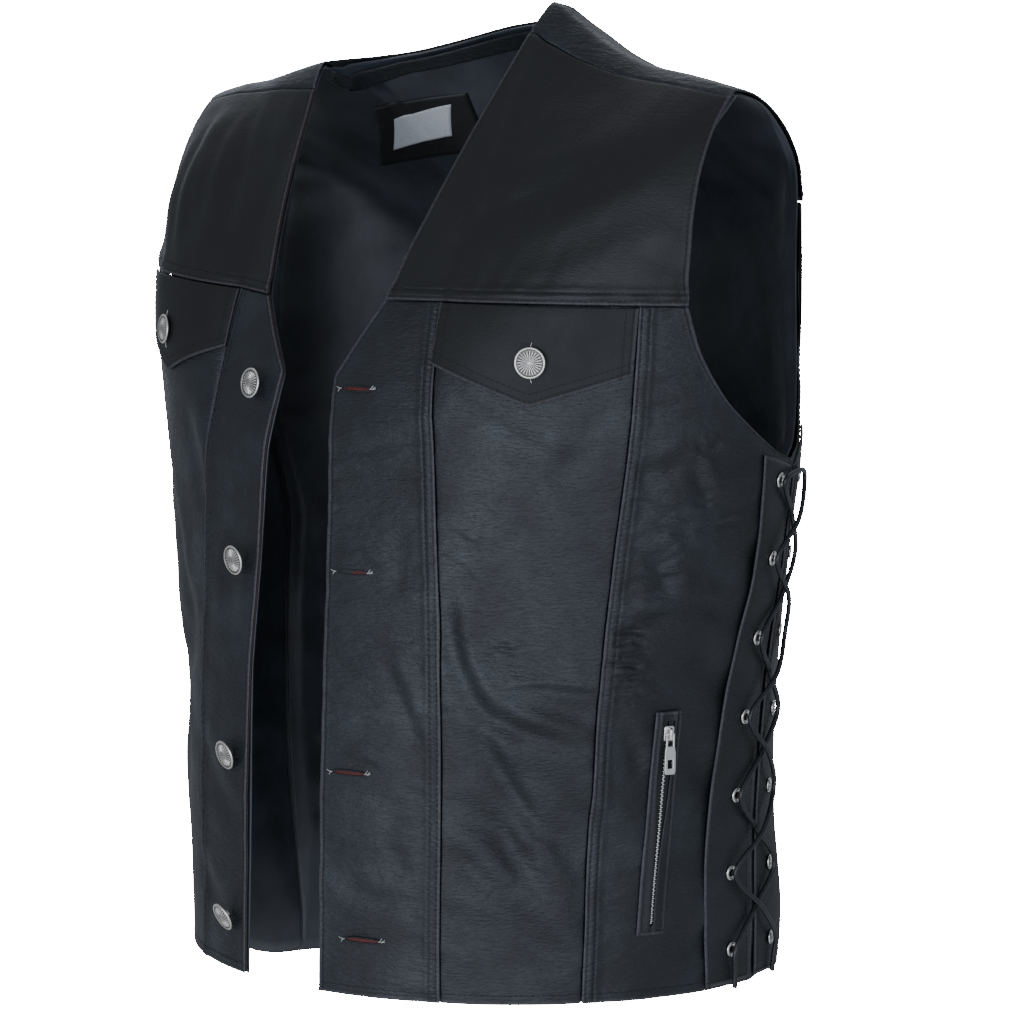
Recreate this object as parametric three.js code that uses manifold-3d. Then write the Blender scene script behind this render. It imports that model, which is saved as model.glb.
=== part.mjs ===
// A sleeveless leather vest in the shape that it keeps when worn, open at the front.
// Millimetres. +Z is up, the front faces -Y and +X is the wearer's left. The origin lies midway
// between the shoulders, 9 mm below the top of the left shoulder at the neck.

import * as THREE from "three";
import { mergeVertices } from "three/addons/utils/BufferGeometryUtils.js";
import Module from "manifold-3d";

const wasm = await Module();
wasm.setup();

// Driving sizes

const LEATHER = 1.4;
const SATIN = 1.0;
const FLAP_THICKNESS = 1.6;
const STRIP_THICKNESS = 1.6;
const WELT_THICKNESS = 1.3;
const SEAM_GAP = 0.3;
const YOKE_SEAM_GAP = 0.5;
const FLAP_LIFT = 0.9;
const STRIP_LIFT = 1;
const LINING_SINK = { edge: 3, middle: 7, reach: 0.2 };
const FACING_SINK = 6.8;
const FACING_HEIGHT = 28;

const STRIP_WIDTH = 38;
const STRIP_FROM_SEAM = 4;
const EYELET_ROWS = 7;
const EYELET_TOP_Z = -296;
const EYELET_PITCH = 52;
const EYELET = { hole: 2.6, barrel: 3.4, rim: 5, rimHeight: 0.9, clearance: 0.4 };
const LACE_DIAMETER = 3.6;
const BUTTON_DIAMETER = 20;

// Torso rings, top down: half width, depth in front of the middle and behind it, and the middle's y
const RINGS = [
  { z: 60, half: 244, front: 150, back: 150, middle: 12 },
  { z: -60, half: 247, front: 168, back: 158, middle: 16 },
  { z: -175, half: 248, front: 176, back: 164, middle: 20 },
  { z: -270, half: 245, front: 172, back: 164, middle: 22 },
  { z: -350, half: 232, front: 180, back: 158, middle: 28 },
  { z: -430, half: 221, front: 190, back: 154, middle: 33 },
  { z: -540, half: 212, front: 200, back: 156, middle: 42 },
  { z: -650, half: 207, front: 209, back: 162, middle: 50 },
];

// The line along the top of the shoulders. The wearer's right shoulder hangs lower.
const SHOULDERS = [
  { x: -260, y: 8, z: -60 },
  { x: -231, y: 1, z: -48 },
  { x: -195, y: -6, z: -41 },
  { x: -165, y: -11, z: -38 },
  { x: -135, y: -15, z: -32 },
  { x: -104, y: -18, z: -26 },
  { x: 0, y: -18, z: -8 },
  { x: 97, y: -18, z: 9 },
  { x: 115, y: -16, z: -2 },
  { x: 135, y: -13, z: -16 },
  { x: 165, y: -9, z: -31 },
  { x: 195, y: -5, z: -38 },
  { x: 231, y: 2, z: -48 },
  { x: 260, y: 8, z: -60 },
];
const NECK_X = 97;
const TIP_X = 231;

// The neck hole behind the shoulders: half of an ellipse, with its height at angles round it
const NECK = { middleX: -3.5, radius: 100.5, y: -18, depth: 75, fade: 25, spread: 82, spreadBelow: 50 };
const NECK_HEIGHTS = [
  { angle: 0, z: 9 },
  { angle: 30, z: 6 },
  { angle: 60, z: 3 },
  { angle: 90, z: -1 },
  { angle: 135, z: -18 },
  { angle: 180, z: -26 },
];

// How the front and back fall away below the shoulders, at the neck and at the shoulder tip
const FALL = {
  front: { neck: 270, tip: 140, neckPower: 1.3, tipPower: 3.2 },
  back: { neck: 170, tip: 50, neckPower: 2.2, tipPower: 2.2 },
  round: 0.2,
  roundBehindTip: 0.95,
};

// The largest folds: place, slant from upright in degrees, half length, half width and height in mm
const FOLDS = [
  { theta: 45, z: -505, slant: -48, length: 70, width: 24, height: -4 },
  { theta: 51, z: -462, slant: -46, length: 60, width: 22, height: 4 },
  { theta: 38, z: -395, slant: -38, length: 50, width: 22, height: -3 },
  { theta: 62, z: -425, slant: -20, length: 34, width: 20, height: 4 },
  { theta: 114, z: -590, slant: 0, length: 56, width: 42, height: 8 },
  { theta: 136, z: -550, slant: 10, length: 70, width: 30, height: -5 },
  { theta: -46, z: -105, slant: 6, length: 40, width: 22, height: 3 },
  { theta: -31, z: -110, slant: -4, length: 40, width: 20, height: -3 },
  { theta: -42, z: -430, slant: 40, length: 70, width: 24, height: -4 },
  { theta: -58, z: -540, slant: 24, length: 60, width: 24, height: 4 },
  { theta: -112, z: -520, slant: 0, length: 80, width: 46, height: 3.5 },
  { theta: 160, z: -420, slant: 24, length: 90, width: 30, height: -5 },
  { theta: 196, z: -480, slant: -20, length: 90, width: 30, height: 5 },
  { theta: 178, z: -590, slant: 4, length: 80, width: 32, height: -5 },
  { theta: 216, z: -360, slant: 30, length: 70, width: 28, height: -4 },
];
const FOLD_MM_PER_DEGREE = 3.6;

// Long edges and seams, as angle round the body from centre front, and height
const CENTRE_SEAM = [
  { at: 0, theta: 22.7, z: -184 },
  { at: 0.25, theta: 25, z: -296 },
  { at: 0.56, theta: 29.2, z: -436 },
  { at: 1, theta: 31, z: -632 },
];
const FRONT_SEAM = [
  { at: 0, theta: 59, z: -184 },
  { at: 0.25, theta: 57.2, z: -296 },
  { at: 0.56, theta: 57, z: -436 },
  { at: 1, theta: 56.2, z: -632 },
];
const SIDE_SEAM = [
  { at: 0, theta: 104, z: -284 },
  { at: 0.19, theta: 105.5, z: -350 },
  { at: 0.33, theta: 102.5, z: -400 },
  { at: 0.56, theta: 98.6, z: -480 },
  { at: 0.75, theta: 96.6, z: -546 },
  { at: 1, theta: 97, z: -634 },
];
// On the wearer's right the back hangs lower, and the hem of the front's side panel slopes to it
const SIDE_SEAM_RIGHT = [...SIDE_SEAM.slice(0, -1), { at: 1, theta: 97, z: -677 }];
const SIDE_HEM_RIGHT = [
  { at: 0, theta: 56.2, z: -632 },
  { at: 0.2, theta: 64, z: -634 },
  { at: 0.4, theta: 72, z: -650 },
  { at: 0.6, theta: 80, z: -667 },
  { at: 0.8, theta: 88, z: -675 },
  { at: 1, theta: 97, z: -677 },
];
const FRONT_ARMHOLE = [
  { at: 0.24, theta: 72, z: -215 },
  { at: 0.44, theta: 78, z: -243 },
  { at: 0.64, theta: 86, z: -263 },
  { at: 0.82, theta: 95, z: -277 },
  { at: 1, theta: 104, z: -284 },
];
// The back is drawn round to the wearer's right, so that its armhole reaches further forward there
const BACK_ARMHOLES = {
  left: [
    { at: 0.3, theta: 115, z: -66 },
    { at: 0.55, theta: 118, z: -118 },
    { at: 0.72, theta: 122, z: -165 },
    { at: 0.86, theta: 118.5, z: -235 },
    { at: 0.94, theta: 111.5, z: -273 },
    { at: 1, theta: 104, z: -284 },
  ],
  right: [
    { at: 0.3, theta: 110, z: -80 },
    { at: 0.55, theta: 109, z: -118 },
    { at: 0.72, theta: 106.5, z: -165 },
    { at: 0.86, theta: 104.8, z: -235 },
    { at: 0.94, theta: 104.1, z: -273 },
    { at: 1, theta: 104, z: -284 },
  ],
};
const YOKE_ARMHOLE_SHARE = 0.55;
const BACK_SEAM = { left: 118, right: 109, z: -118 };
const BACK_HEM = [
  { at: 0, theta: 97, z: -634 },
  { at: 0.08, theta: 106, z: -632 },
  { at: 0.21, theta: 119, z: -641 },
  { at: 0.5, theta: 180, z: -678 },
  { at: 0.79, theta: 241, z: -678 },
  { at: 0.93, theta: 255, z: -678 },
  { at: 1, theta: 263, z: -677 },
];

// The two fronts: x of the neckline at the shoulder, at the yoke seam and at the V, and their heights
const FRONTS = {
  left: {
    sign: 1,
    neckX: 97,
    yokeX: 52,
    yokeTipZ: -184,
    vee: { x: 22, z: -233 },
    edge: [
      { z: -300, x: 24 },
      { z: -430, x: 26 },
      { z: -632, x: 26 },
    ],
  },
  right: {
    sign: -1,
    neckX: 104,
    yokeX: 62,
    yokeTipZ: -168,
    vee: { x: 28, z: -232 },
    edge: [
      { z: -300, x: 36 },
      { z: -430, x: 42 },
      { z: -632, x: 43 },
    ],
  },
};
const YOKE_Z = -184;
const HEM_Z = -632;
const SHOULDER_SEAM_DROP = [
  { x: 90, drop: 21 },
  { x: 135, drop: 12 },
  { x: 165, drop: 8 },
  { x: 231, drop: 5 },
];
const FLAP_DROPS = [
  { at: 0, theta: 22.7, drop: 39 },
  { at: 0.49, theta: 40.3, drop: 64 },
  { at: 1, theta: 57.9, drop: 43 },
];
const FLAP_TOP_DROP = 1;
const FLAP_BUTTON = { theta: 40.4, drop: 36 };

// The zipped pocket slot on each side panel
const WELT = {
  top: { theta: 71.5, z: -443 },
  bottom: { theta: 69.2, z: -590 },
  halfWidth: 10,
  slotHalfWidth: 4.6,
  slotEnd: 6,
};
const SLIDER_BELOW_SLOT_TOP = 8;

const FRONT_BUTTONS = [
  { x: -51, z: -242, tilt: 8 },
  { x: -56, z: -357, tilt: 13 },
  { x: -59, z: -486, tilt: 16 },
  { x: -60, z: -594, tilt: 26 },
];

// Stops of each side lace: which strip, which eyelet row, and its height over the panel there
const LACE_OVER_RIM = 6.6;
const LACE_LOW = 5.2;
const LACE_HIGH = 9.8;
const LACE_STOPS = [
  { strip: "front", row: 7.5, lift: 5.4 },
  { strip: "front", row: 7.3, lift: 5.6 },
  { strip: "front", row: 7, lift: LACE_OVER_RIM },
  { strip: "between", row: 6.5, lift: LACE_LOW },
  { strip: "back", row: 6, lift: LACE_OVER_RIM },
  { strip: "between", row: 5.5, lift: LACE_LOW },
  { strip: "front", row: 5, lift: LACE_OVER_RIM },
  { strip: "between", row: 4.5, lift: LACE_LOW },
  { strip: "back", row: 4, lift: LACE_OVER_RIM },
  { strip: "between", row: 3.5, lift: LACE_LOW },
  { strip: "front", row: 3, lift: LACE_OVER_RIM },
  { strip: "between", row: 2.5, lift: LACE_LOW },
  { strip: "back", row: 2, lift: LACE_OVER_RIM },
  { strip: "between", row: 1.5, lift: LACE_LOW },
  { strip: "front", row: 1, lift: LACE_OVER_RIM },
  { strip: "between", row: 0.9, lift: LACE_OVER_RIM },
  { strip: "back", row: 1, lift: LACE_OVER_RIM },
  { strip: "between", row: 1.5, lift: LACE_HIGH },
  { strip: "front", row: 2, lift: LACE_OVER_RIM },
  { strip: "between", row: 2.5, lift: LACE_HIGH },
  { strip: "back", row: 3, lift: LACE_OVER_RIM },
  { strip: "between", row: 3.5, lift: LACE_HIGH },
  { strip: "front", row: 4, lift: LACE_OVER_RIM },
  { strip: "between", row: 4.5, lift: LACE_HIGH },
  { strip: "back", row: 5, lift: LACE_OVER_RIM },
  { strip: "between", row: 5.5, lift: LACE_HIGH },
  { strip: "front", row: 6, lift: LACE_OVER_RIM },
  { strip: "between", row: 6.5, lift: LACE_HIGH },
  { strip: "back", row: 7, lift: LACE_OVER_RIM },
  { strip: "back", row: 7.25, lift: 5.6 },
  { strip: "back", row: 7.45, lift: 5.4 },
];

// Materials

const finish = (color, roughness, metalness) => () =>
  new THREE.MeshStandardMaterial({ color, roughness, metalness });
const blackLeather = finish("#23262c", 0.45, 0);
const blackSatin = finish("#17181b", 0.4, 0);
const silver = finish("#b9b6ae", 0.3, 1);
const lacing = finish("#1b1c20", 0.55, 0);

// Curves through tables

const radians = (degrees) => (degrees * Math.PI) / 180;
const mix = (a, b, share) => a + (b - a) * share;
const clamp = (value) => Math.min(Math.max(value, 0), 1);
const ease = (value) => clamp(value) ** 2 * (3 - 2 * clamp(value));

function spread(from, to, steps) {
  return Array.from({ length: steps + 1 }, (_, i) => mix(from, to, i / steps));
}

// A smooth value between a table's rows: a cubic between neighbours, its slope taken across them
function smooth(rows, key, value, at) {
  const last = rows.length - 1;
  let i = 0;
  while (i < last - 1 && at > rows[i + 1][key]) i += 1;
  const slope = (j) => {
    const a = rows[Math.max(j - 1, 0)];
    const b = rows[Math.min(j + 1, last)];
    return (b[value] - a[value]) / (b[key] - a[key]);
  };
  const [a, b] = [rows[i], rows[i + 1]];
  const step = b[key] - a[key];
  const t = clamp((at - a[key]) / step);
  return (
    (2 * t ** 3 - 3 * t ** 2 + 1) * a[value] +
    (t ** 3 - 2 * t ** 2 + t) * step * slope(i) +
    (3 * t ** 2 - 2 * t ** 3) * b[value] +
    (t ** 3 - t ** 2) * step * slope(i + 1)
  );
}

function straight(rows, key, value, at) {
  let i = 0;
  while (i < rows.length - 2 && at > rows[i + 1][key]) i += 1;
  const [a, b] = [rows[i], rows[i + 1]];
  return mix(a[value], b[value], clamp((at - a[key]) / (b[key] - a[key])));
}

const RISING_RINGS = [...RINGS].reverse();

function ring(z, value) {
  return smooth(RISING_RINGS, "z", value, Math.min(Math.max(z, RISING_RINGS[0].z), RINGS[0].z));
}

const thetaAt = (x, z) => (Math.asin(x / ring(z, "half")) * 180) / Math.PI;

// The garment's outer form

// The top line over x: the shoulder line, or behind it the edge of the neck hole
function topLine(x, inFront) {
  const across = (x - NECK.middleX) / NECK.radius;
  if (!inFront && Math.abs(across) < 1) {
    return {
      y: NECK.y + NECK.depth * Math.sqrt(1 - across ** 2),
      z: straight(NECK_HEIGHTS, "angle", "z", (Math.acos(across) * 180) / Math.PI),
      open: ease(((1 - Math.abs(across)) * NECK.radius) / NECK.fade),
    };
  }
  return {
    y: straight(SHOULDERS, "x", "y", x),
    z: straight(SHOULDERS, "x", "z", x),
    open: 0,
  };
}

// The neck hole draws the back in to it. Below its edge that pull spreads out sideways.
function pulledIn(x, topY, below) {
  const soft = NECK.y + NECK.depth * Math.exp(-(((x - NECK.middleX) / NECK.spread) ** 2));
  return mix(topY, soft, ease(below / NECK.spreadBelow));
}

function bare(theta, z) {
  const cosine = Math.cos(radians(theta));
  const inFront = cosine > 0;
  const x = ring(z, "half") * Math.sin(radians(theta));
  const y = ring(z, "middle") - ring(z, inFront ? "front" : "back") * cosine;
  const top = topLine(x, inFront);
  const side = inFront ? FALL.front : FALL.back;
  const out = clamp((Math.abs(x) - NECK_X) / (TIP_X - NECK_X));
  const u = clamp((top.z - z) / mix(side.neck, side.tip, out));
  const round = (inFront ? FALL.round : mix(FALL.round, FALL.roundBehindTip, out)) * (1 - top.open);
  const power = mix(side.neckPower, side.tipPower, out);
  const share = (1 - round) * (1 - (1 - u) ** power) + round * Math.sqrt(1 - (1 - u) ** 2);
  return new THREE.Vector3(x, mix(inFront ? top.y : pulledIn(x, top.y, top.z - z), y, share), z);
}

// Outward direction, and depth below the top line
function facing(theta, z) {
  const inFront = Math.cos(radians(theta)) > 0;
  const half = ring(z, "half");
  const topZ = (angle) => topLine(half * Math.sin(radians(angle)), inFront).z;
  const below = Math.max(topZ(theta) - z, 0.5);
  const level = topZ(theta) - below;
  const turn = 0.5;
  const round = bare(theta + turn, topZ(theta + turn) - below).sub(
    bare(theta - turn, topZ(theta - turn) - below),
  );
  const up = bare(theta, level + Math.min(below, 1)).sub(bare(theta, level - 1));
  return { out: round.cross(up).normalize(), below };
}

function foldHeight(theta, z) {
  let sum = 0;
  for (const fold of FOLDS) {
    const turn = ((theta - fold.theta + 540) % 360) - 180;
    const x = turn * FOLD_MM_PER_DEGREE;
    const y = z - fold.z;
    const lean = radians(fold.slant);
    const along = (y * Math.cos(lean) + x * Math.sin(lean)) / fold.length;
    const across = (x * Math.cos(lean) - y * Math.sin(lean)) / fold.width;
    sum += fold.height * Math.exp(-(along ** 2) - across ** 2);
  }
  return sum;
}

// A point on a layer. Close to the shoulder line layers are shifted straight up or down instead of
// along their normals, so that they never cross at the sharp turn.
function layer(theta, z, lift, foldAt = foldHeight) {
  const { out, below } = facing(theta, z);
  const inFront = Math.cos(radians(theta)) > 0;
  const x = ring(z, "half") * Math.sin(radians(theta));
  const share = Math.max(ease(below / 25), topLine(x, inFront).open);
  const along = new THREE.Vector3(0, 0, 1).lerp(out, share).normalize();
  const reach = lift / Math.max(along.dot(out), 0.35);
  const fold = foldAt(theta, z) * ease(below / 25);
  return bare(theta, z).addScaledVector(out, fold).addScaledVector(along, reach);
}

// Walls

// A closed wall over grids of [theta, z, sink] points, rows top down and theta rising along a row.
// Grids that share an edge's points become one wall. Free edges get a rim.
function wall(grids, lift, thickness, { leaveOut = () => false, foldAt = foldHeight } = {}) {
  const found = new Map();
  const outer = [];
  const inner = [];
  const pointIndex = ([theta, z, sink = 0]) => {
    const key = bare(theta, z).toArray().map((value) => Math.round(value * 100)).join();
    if (!found.has(key)) {
      found.set(key, outer.length);
      outer.push(layer(theta, z, lift - sink, foldAt));
      inner.push(layer(theta, z, lift - sink - thickness, foldAt));
    }
    return found.get(key);
  };
  const triangles = [];
  for (const grid of grids) {
    const rows = grid.map((row) => row.map(pointIndex));
    for (let r = 0; r + 1 < rows.length; r += 1) {
      for (let c = 0; c + 1 < rows[r].length; c += 1) {
        if (leaveOut(r, c)) continue;
        const [a, b, d, e] = [rows[r][c], rows[r][c + 1], rows[r + 1][c + 1], rows[r + 1][c]];
        triangles.push([a, e, d], [a, d, b]);
      }
    }
  }
  const kept = triangles.filter(([a, b, c]) => a !== b && b !== c && a !== c);
  const edges = new Set(kept.flatMap(([a, b, c]) => [`${a},${b}`, `${b},${c}`, `${c},${a}`]));
  const below = outer.length;
  const faces = [];
  for (const [a, b, c] of kept) {
    faces.push(a, b, c, a + below, c + below, b + below);
    for (const [from, to] of [[a, b], [b, c], [c, a]]) {
      if (edges.has(`${to},${from}`)) continue;
      faces.push(to, from, from + below, to, from + below, to + below);
    }
  }
  const geometry = new THREE.BufferGeometry();
  const positions = [...outer, ...inner].flatMap((point) => point.toArray());
  geometry.setAttribute("position", new THREE.Float32BufferAttribute(positions, 3));
  geometry.setIndex(faces);
  return geometry;
}

// A grid between four edges, each a function of 0 to 1 that gives [theta, z]. gaps draws its
// sides in by half a seam gap where they meet another piece.
function patch({ top, bottom, left, right, across, down, gaps = "" }) {
  const inset = (name, gap = SEAM_GAP) => (gaps.includes(name) ? gap / 2 : 0);
  const corner = [top(0), top(1), bottom(0), bottom(1)];
  return down.map((t) =>
    across.map((s) => {
      const [theta, z] = [0, 1].map(
        (i) =>
          mix(top(s)[i], bottom(s)[i], t) +
          mix(left(t)[i], right(t)[i], s) -
          mix(mix(corner[0][i], corner[1][i], s), mix(corner[2][i], corner[3][i], s), t),
      );
      const sideways = mix(inset("left"), -inset("right"), s) / FOLD_MM_PER_DEGREE;
      const down = mix(-inset("top", YOKE_SEAM_GAP), inset("bottom", YOKE_SEAM_GAP), t);
      return [theta + sideways, z + down];
    }),
  );
}

const mirror = (grid) => grid.map((row) => row.map(([theta, z, sink]) => [-theta, z, sink]).reverse());
const line =
  (rows, curve = smooth) =>
  (at) => [curve(rows, "at", "theta", at), curve(rows, "at", "z", at)];
const lower = (curve, drop) => (at) => [curve(at)[0], curve(at)[1] - drop];
const part = (curve, from, to) => (at) => curve(mix(from, to, at));

function asSolid(geometry) {
  const plain = geometry.clone();
  for (const name of ["normal", "uv"]) plain.deleteAttribute(name);
  const merged = mergeVertices(plain, 1e-4);
  const at = merged.getAttribute("position");
  const index = Array.from(merged.getIndex().array);
  const corner = (i) => new THREE.Vector3().fromBufferAttribute(at, index[i]);
  let volume = 0;
  for (let i = 0; i < index.length; i += 3) {
    volume += corner(i).dot(corner(i + 1).cross(corner(i + 2)));
  }
  if (volume < 0) {
    for (let i = 0; i < index.length; i += 3) [index[i], index[i + 1]] = [index[i + 1], index[i]];
    merged.setIndex(index);
  }
  return merged;
}

function toManifold(geometry) {
  const merged = asSolid(geometry);
  return new wasm.Manifold(
    new wasm.Mesh({
      numProp: 3,
      vertProperties: new Float32Array(merged.getAttribute("position").array),
      triVerts: new Uint32Array(merged.getIndex().array),
    }),
  );
}

function fromManifold(solid) {
  const mesh = solid.getMesh();
  const geometry = new THREE.BufferGeometry();
  geometry.setAttribute("position", new THREE.Float32BufferAttribute(mesh.vertProperties, 3));
  geometry.setIndex(Array.from(mesh.triVerts));
  return geometry;
}

const vest = new THREE.Group();

function add(name, geometry, material) {
  const finished = asSolid(geometry);
  finished.computeVertexNormals();
  const mesh = new THREE.Mesh(finished, material());
  mesh.name = name;
  vest.add(mesh);
  return mesh;
}

// Axes on the surface: local +X runs round the body, +Y points out and +Z points down it
function surfaceMatrix(theta, z, lift, tilt = 0) {
  const { out } = facing(theta, z);
  const round = new THREE.Vector3(0, 0, 1).cross(out).normalize();
  const down = round.clone().cross(out).normalize();
  const matrix = new THREE.Matrix4().makeBasis(round, out, down);
  matrix.multiply(new THREE.Matrix4().makeRotationX(radians(tilt)));
  return matrix.setPosition(layer(theta, z, lift));
}

// Fronts

const SHOULDER_COLUMNS = spread(0, 1, 9);
const ARMHOLE_SHARE = 0.25;
const SIDE_SEAM_STEPS = 12;
const FRONT_ROWS = [
  ...spread(0, 0.11, 2),
  ...spread(0.11, ARMHOLE_SHARE, 3).slice(1),
  ...spread(ARMHOLE_SHARE, 1, SIDE_SEAM_STEPS).slice(1),
];

function frontEdges(front) {
  const { sign, neckX, yokeX, yokeTipZ, vee } = front;
  const yokeTheta = thetaAt(yokeX, YOKE_Z);
  const yokeSeamZ = (theta) => {
    const x = ring(YOKE_Z, "half") * Math.sin(radians(theta));
    return mix(YOKE_Z, yokeTipZ, (x - yokeX) / (TIP_X - yokeX));
  };
  const yokeSeam = (from, to) => (at) => {
    const theta = mix(from, to, at);
    return [theta, yokeSeamZ(theta)];
  };
  const armTheta = thetaAt(TIP_X, yokeTipZ);
  const shoulderZ = (x) => straight(SHOULDERS, "x", "z", sign * x);
  const ridge = (at) => {
    const x = mix(neckX, TIP_X, at);
    return [thetaAt(x, shoulderZ(x)), shoulderZ(x)];
  };
  const seamShare = SHOULDER_SEAM_DROP[0].drop / (shoulderZ(neckX) - YOKE_Z);
  const neckEndX = mix(neckX, yokeX, seamShare);
  const shoulderSeam = (at) => {
    const x = mix(neckEndX, TIP_X, at);
    const z = shoulderZ(mix(neckX, TIP_X, at)) - straight(SHOULDER_SEAM_DROP, "x", "drop", x);
    return [thetaAt(x, z), z];
  };
  const between = (start, end) => (at) => [mix(start[0], end[0], at), mix(start[1], end[1], at)];
  const armhole = line([{ at: 0, theta: armTheta, z: yokeTipZ }, ...FRONT_ARMHOLE]);
  const fixTop = (rows) => {
    const [first, ...rest] = rows;
    return line([{ ...first, z: yokeSeamZ(first.theta) }, ...rest]);
  };
  const hemShare = (z) => (z - YOKE_Z) / (HEM_Z - YOKE_Z);
  const frontEdge = line(
    [
      { at: 0, theta: yokeTheta, z: YOKE_Z },
      { at: hemShare(vee.z), theta: thetaAt(vee.x, vee.z), z: vee.z },
      ...front.edge.map(({ x, z }) => ({ at: hemShare(z), theta: thetaAt(x, z), z })),
    ],
    straight,
  );
  const sideSeam = line(sign > 0 ? SIDE_SEAM : SIDE_SEAM_RIGHT);
  const seamHem = FRONT_SEAM.at(-1).theta;
  const sideHem =
    sign > 0 ? between([seamHem, HEM_Z], [SIDE_SEAM.at(-1).theta, SIDE_SEAM.at(-1).z]) : line(SIDE_HEM_RIGHT);
  const side = (at) =>
    at < ARMHOLE_SHARE
      ? armhole(at / ARMHOLE_SHARE)
      : sideSeam((at - ARMHOLE_SHARE) / (1 - ARMHOLE_SHARE));
  return {
    ridge,
    shoulderSeam,
    yokeSeam,
    yokeSeamZ,
    yokeTheta,
    armTheta,
    between,
    frontEdge,
    side,
    sideSeam,
    sideHem,
    centreSeam: fixTop(CENTRE_SEAM),
    frontSeam: fixTop(FRONT_SEAM),
    hem: (from, to) => (at) => [mix(from, to, at), HEM_Z],
  };
}

function frontGrids(front) {
  const edges = frontEdges(front);
  const hemTheta = thetaAt(front.edge[2].x, HEM_Z);
  const centreTop = edges.centreSeam(0)[0];
  const seamTop = edges.frontSeam(0)[0];
  const centreHem = CENTRE_SEAM.at(-1).theta;
  const seamHem = FRONT_SEAM.at(-1).theta;
  const [flapStart, , flapEnd] = FLAP_DROPS;
  const flapCorner = (theta, drop) => [theta, edges.yokeSeamZ(theta) - drop];
  return {
    yoke: patch({
      top: edges.shoulderSeam,
      bottom: edges.yokeSeam(edges.yokeTheta, edges.armTheta),
      left: edges.between(edges.shoulderSeam(0), [edges.yokeTheta, YOKE_Z]),
      right: edges.between(edges.shoulderSeam(1), [edges.armTheta, front.yokeTipZ]),
      across: SHOULDER_COLUMNS,
      down: spread(0, 1, 7),
      gaps: "top bottom",
    }),
    shoulder: patch({
      top: edges.ridge,
      bottom: edges.shoulderSeam,
      left: edges.between(edges.ridge(0), edges.shoulderSeam(0)),
      right: edges.between(edges.ridge(1), edges.shoulderSeam(1)),
      across: SHOULDER_COLUMNS,
      down: [0, 0.3, 1],
      gaps: "bottom",
    }),
    centre: patch({
      top: edges.yokeSeam(edges.yokeTheta, centreTop),
      bottom: edges.hem(hemTheta, centreHem),
      left: edges.frontEdge,
      right: edges.centreSeam,
      across: spread(0, 1, 4),
      down: FRONT_ROWS,
      gaps: "top right",
    }),
    mid: patch({
      top: edges.yokeSeam(centreTop, seamTop),
      bottom: edges.hem(centreHem, seamHem),
      left: edges.centreSeam,
      right: edges.frontSeam,
      across: spread(0, 1, 6),
      down: FRONT_ROWS,
      gaps: "top left right",
    }),
    side: patch({
      top: edges.yokeSeam(seamTop, edges.armTheta),
      bottom: edges.sideHem,
      left: edges.frontSeam,
      right: edges.side,
      across: spread(0, 1, 7),
      down: FRONT_ROWS,
      gaps: "top left right",
    }),
    flap: patch({
      top: lower(edges.yokeSeam(centreTop, seamTop), FLAP_TOP_DROP),
      bottom: (at) => {
        const theta = straight(FLAP_DROPS, "at", "theta", at);
        return [theta, edges.yokeSeamZ(theta) - straight(FLAP_DROPS, "at", "drop", at)];
      },
      left: edges.between(
        flapCorner(centreTop, FLAP_TOP_DROP),
        flapCorner(flapStart.theta, flapStart.drop),
      ),
      right: edges.between(
        flapCorner(seamTop, FLAP_TOP_DROP),
        flapCorner(flapEnd.theta, flapEnd.drop),
      ),
      across: [0, 0.16, 0.32, 0.49, 0.66, 0.83, 1],
      down: spread(0, 1, 3),
      gaps: "top left right",
    }),
  };
}

const frontSide = { left: frontGrids(FRONTS.left), right: frontGrids(FRONTS.right) };
const facingOut = (side, grid) => (side === "left" ? grid : mirror(grid));

for (const side of ["left", "right"]) {
  const grids = frontSide[side];
  for (const name of ["yoke", "centre", "mid", "side"]) {
    add(`front_${name}_${side}`, wall([facingOut(side, grids[name])], 0, LEATHER), blackLeather);
  }
  const flap = wall([facingOut(side, grids.flap)], FLAP_LIFT + FLAP_THICKNESS, FLAP_THICKNESS);
  add(`pocket_flap_${side}`, flap, blackLeather);
}

// Back

const NECK_ANGLES = spread(0, 180, 10);

// Points along the top of the back: shoulder line, neck hole and shoulder line again
function backTop() {
  const ridge = (front) =>
    SHOULDER_COLUMNS.map((at) => {
      const [theta, z] = frontEdges(front).ridge(at);
      return [180 - front.sign * theta, z];
    });
  const neck = NECK_ANGLES.slice(1, -1).map((angle) => {
    const x = NECK.middleX + NECK.radius * Math.cos(radians(angle));
    const z = straight(NECK_HEIGHTS, "angle", "z", angle);
    return [180 - thetaAt(x, z), z];
  });
  return [...ridge(FRONTS.left).reverse(), ...neck, ...ridge(FRONTS.right)];
}

const BACK_TOP = backTop();
const BACK_COLUMNS = spread(0, 1, BACK_TOP.length - 1);
const alongBackTop = (at) => BACK_TOP[Math.round(at * (BACK_TOP.length - 1))];
const otherSide = (curve) => (at) => [360 - curve(at)[0], curve(at)[1]];
const [leftTip, rightTip] = [BACK_TOP[0], BACK_TOP.at(-1)];
const leftArmhole = line([{ at: 0, theta: leftTip[0], z: leftTip[1] }, ...BACK_ARMHOLES.left]);
const rightArmhole = line([{ at: 0, theta: 360 - rightTip[0], z: rightTip[1] }, ...BACK_ARMHOLES.right]);
const backSeam = (at) => [mix(BACK_SEAM.left, 360 - BACK_SEAM.right, at), BACK_SEAM.z];
const yokeArm = part(leftArmhole, 0, YOKE_ARMHOLE_SHARE);
const yokeArmRight = otherSide(part(rightArmhole, 0, YOKE_ARMHOLE_SHARE));

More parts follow.
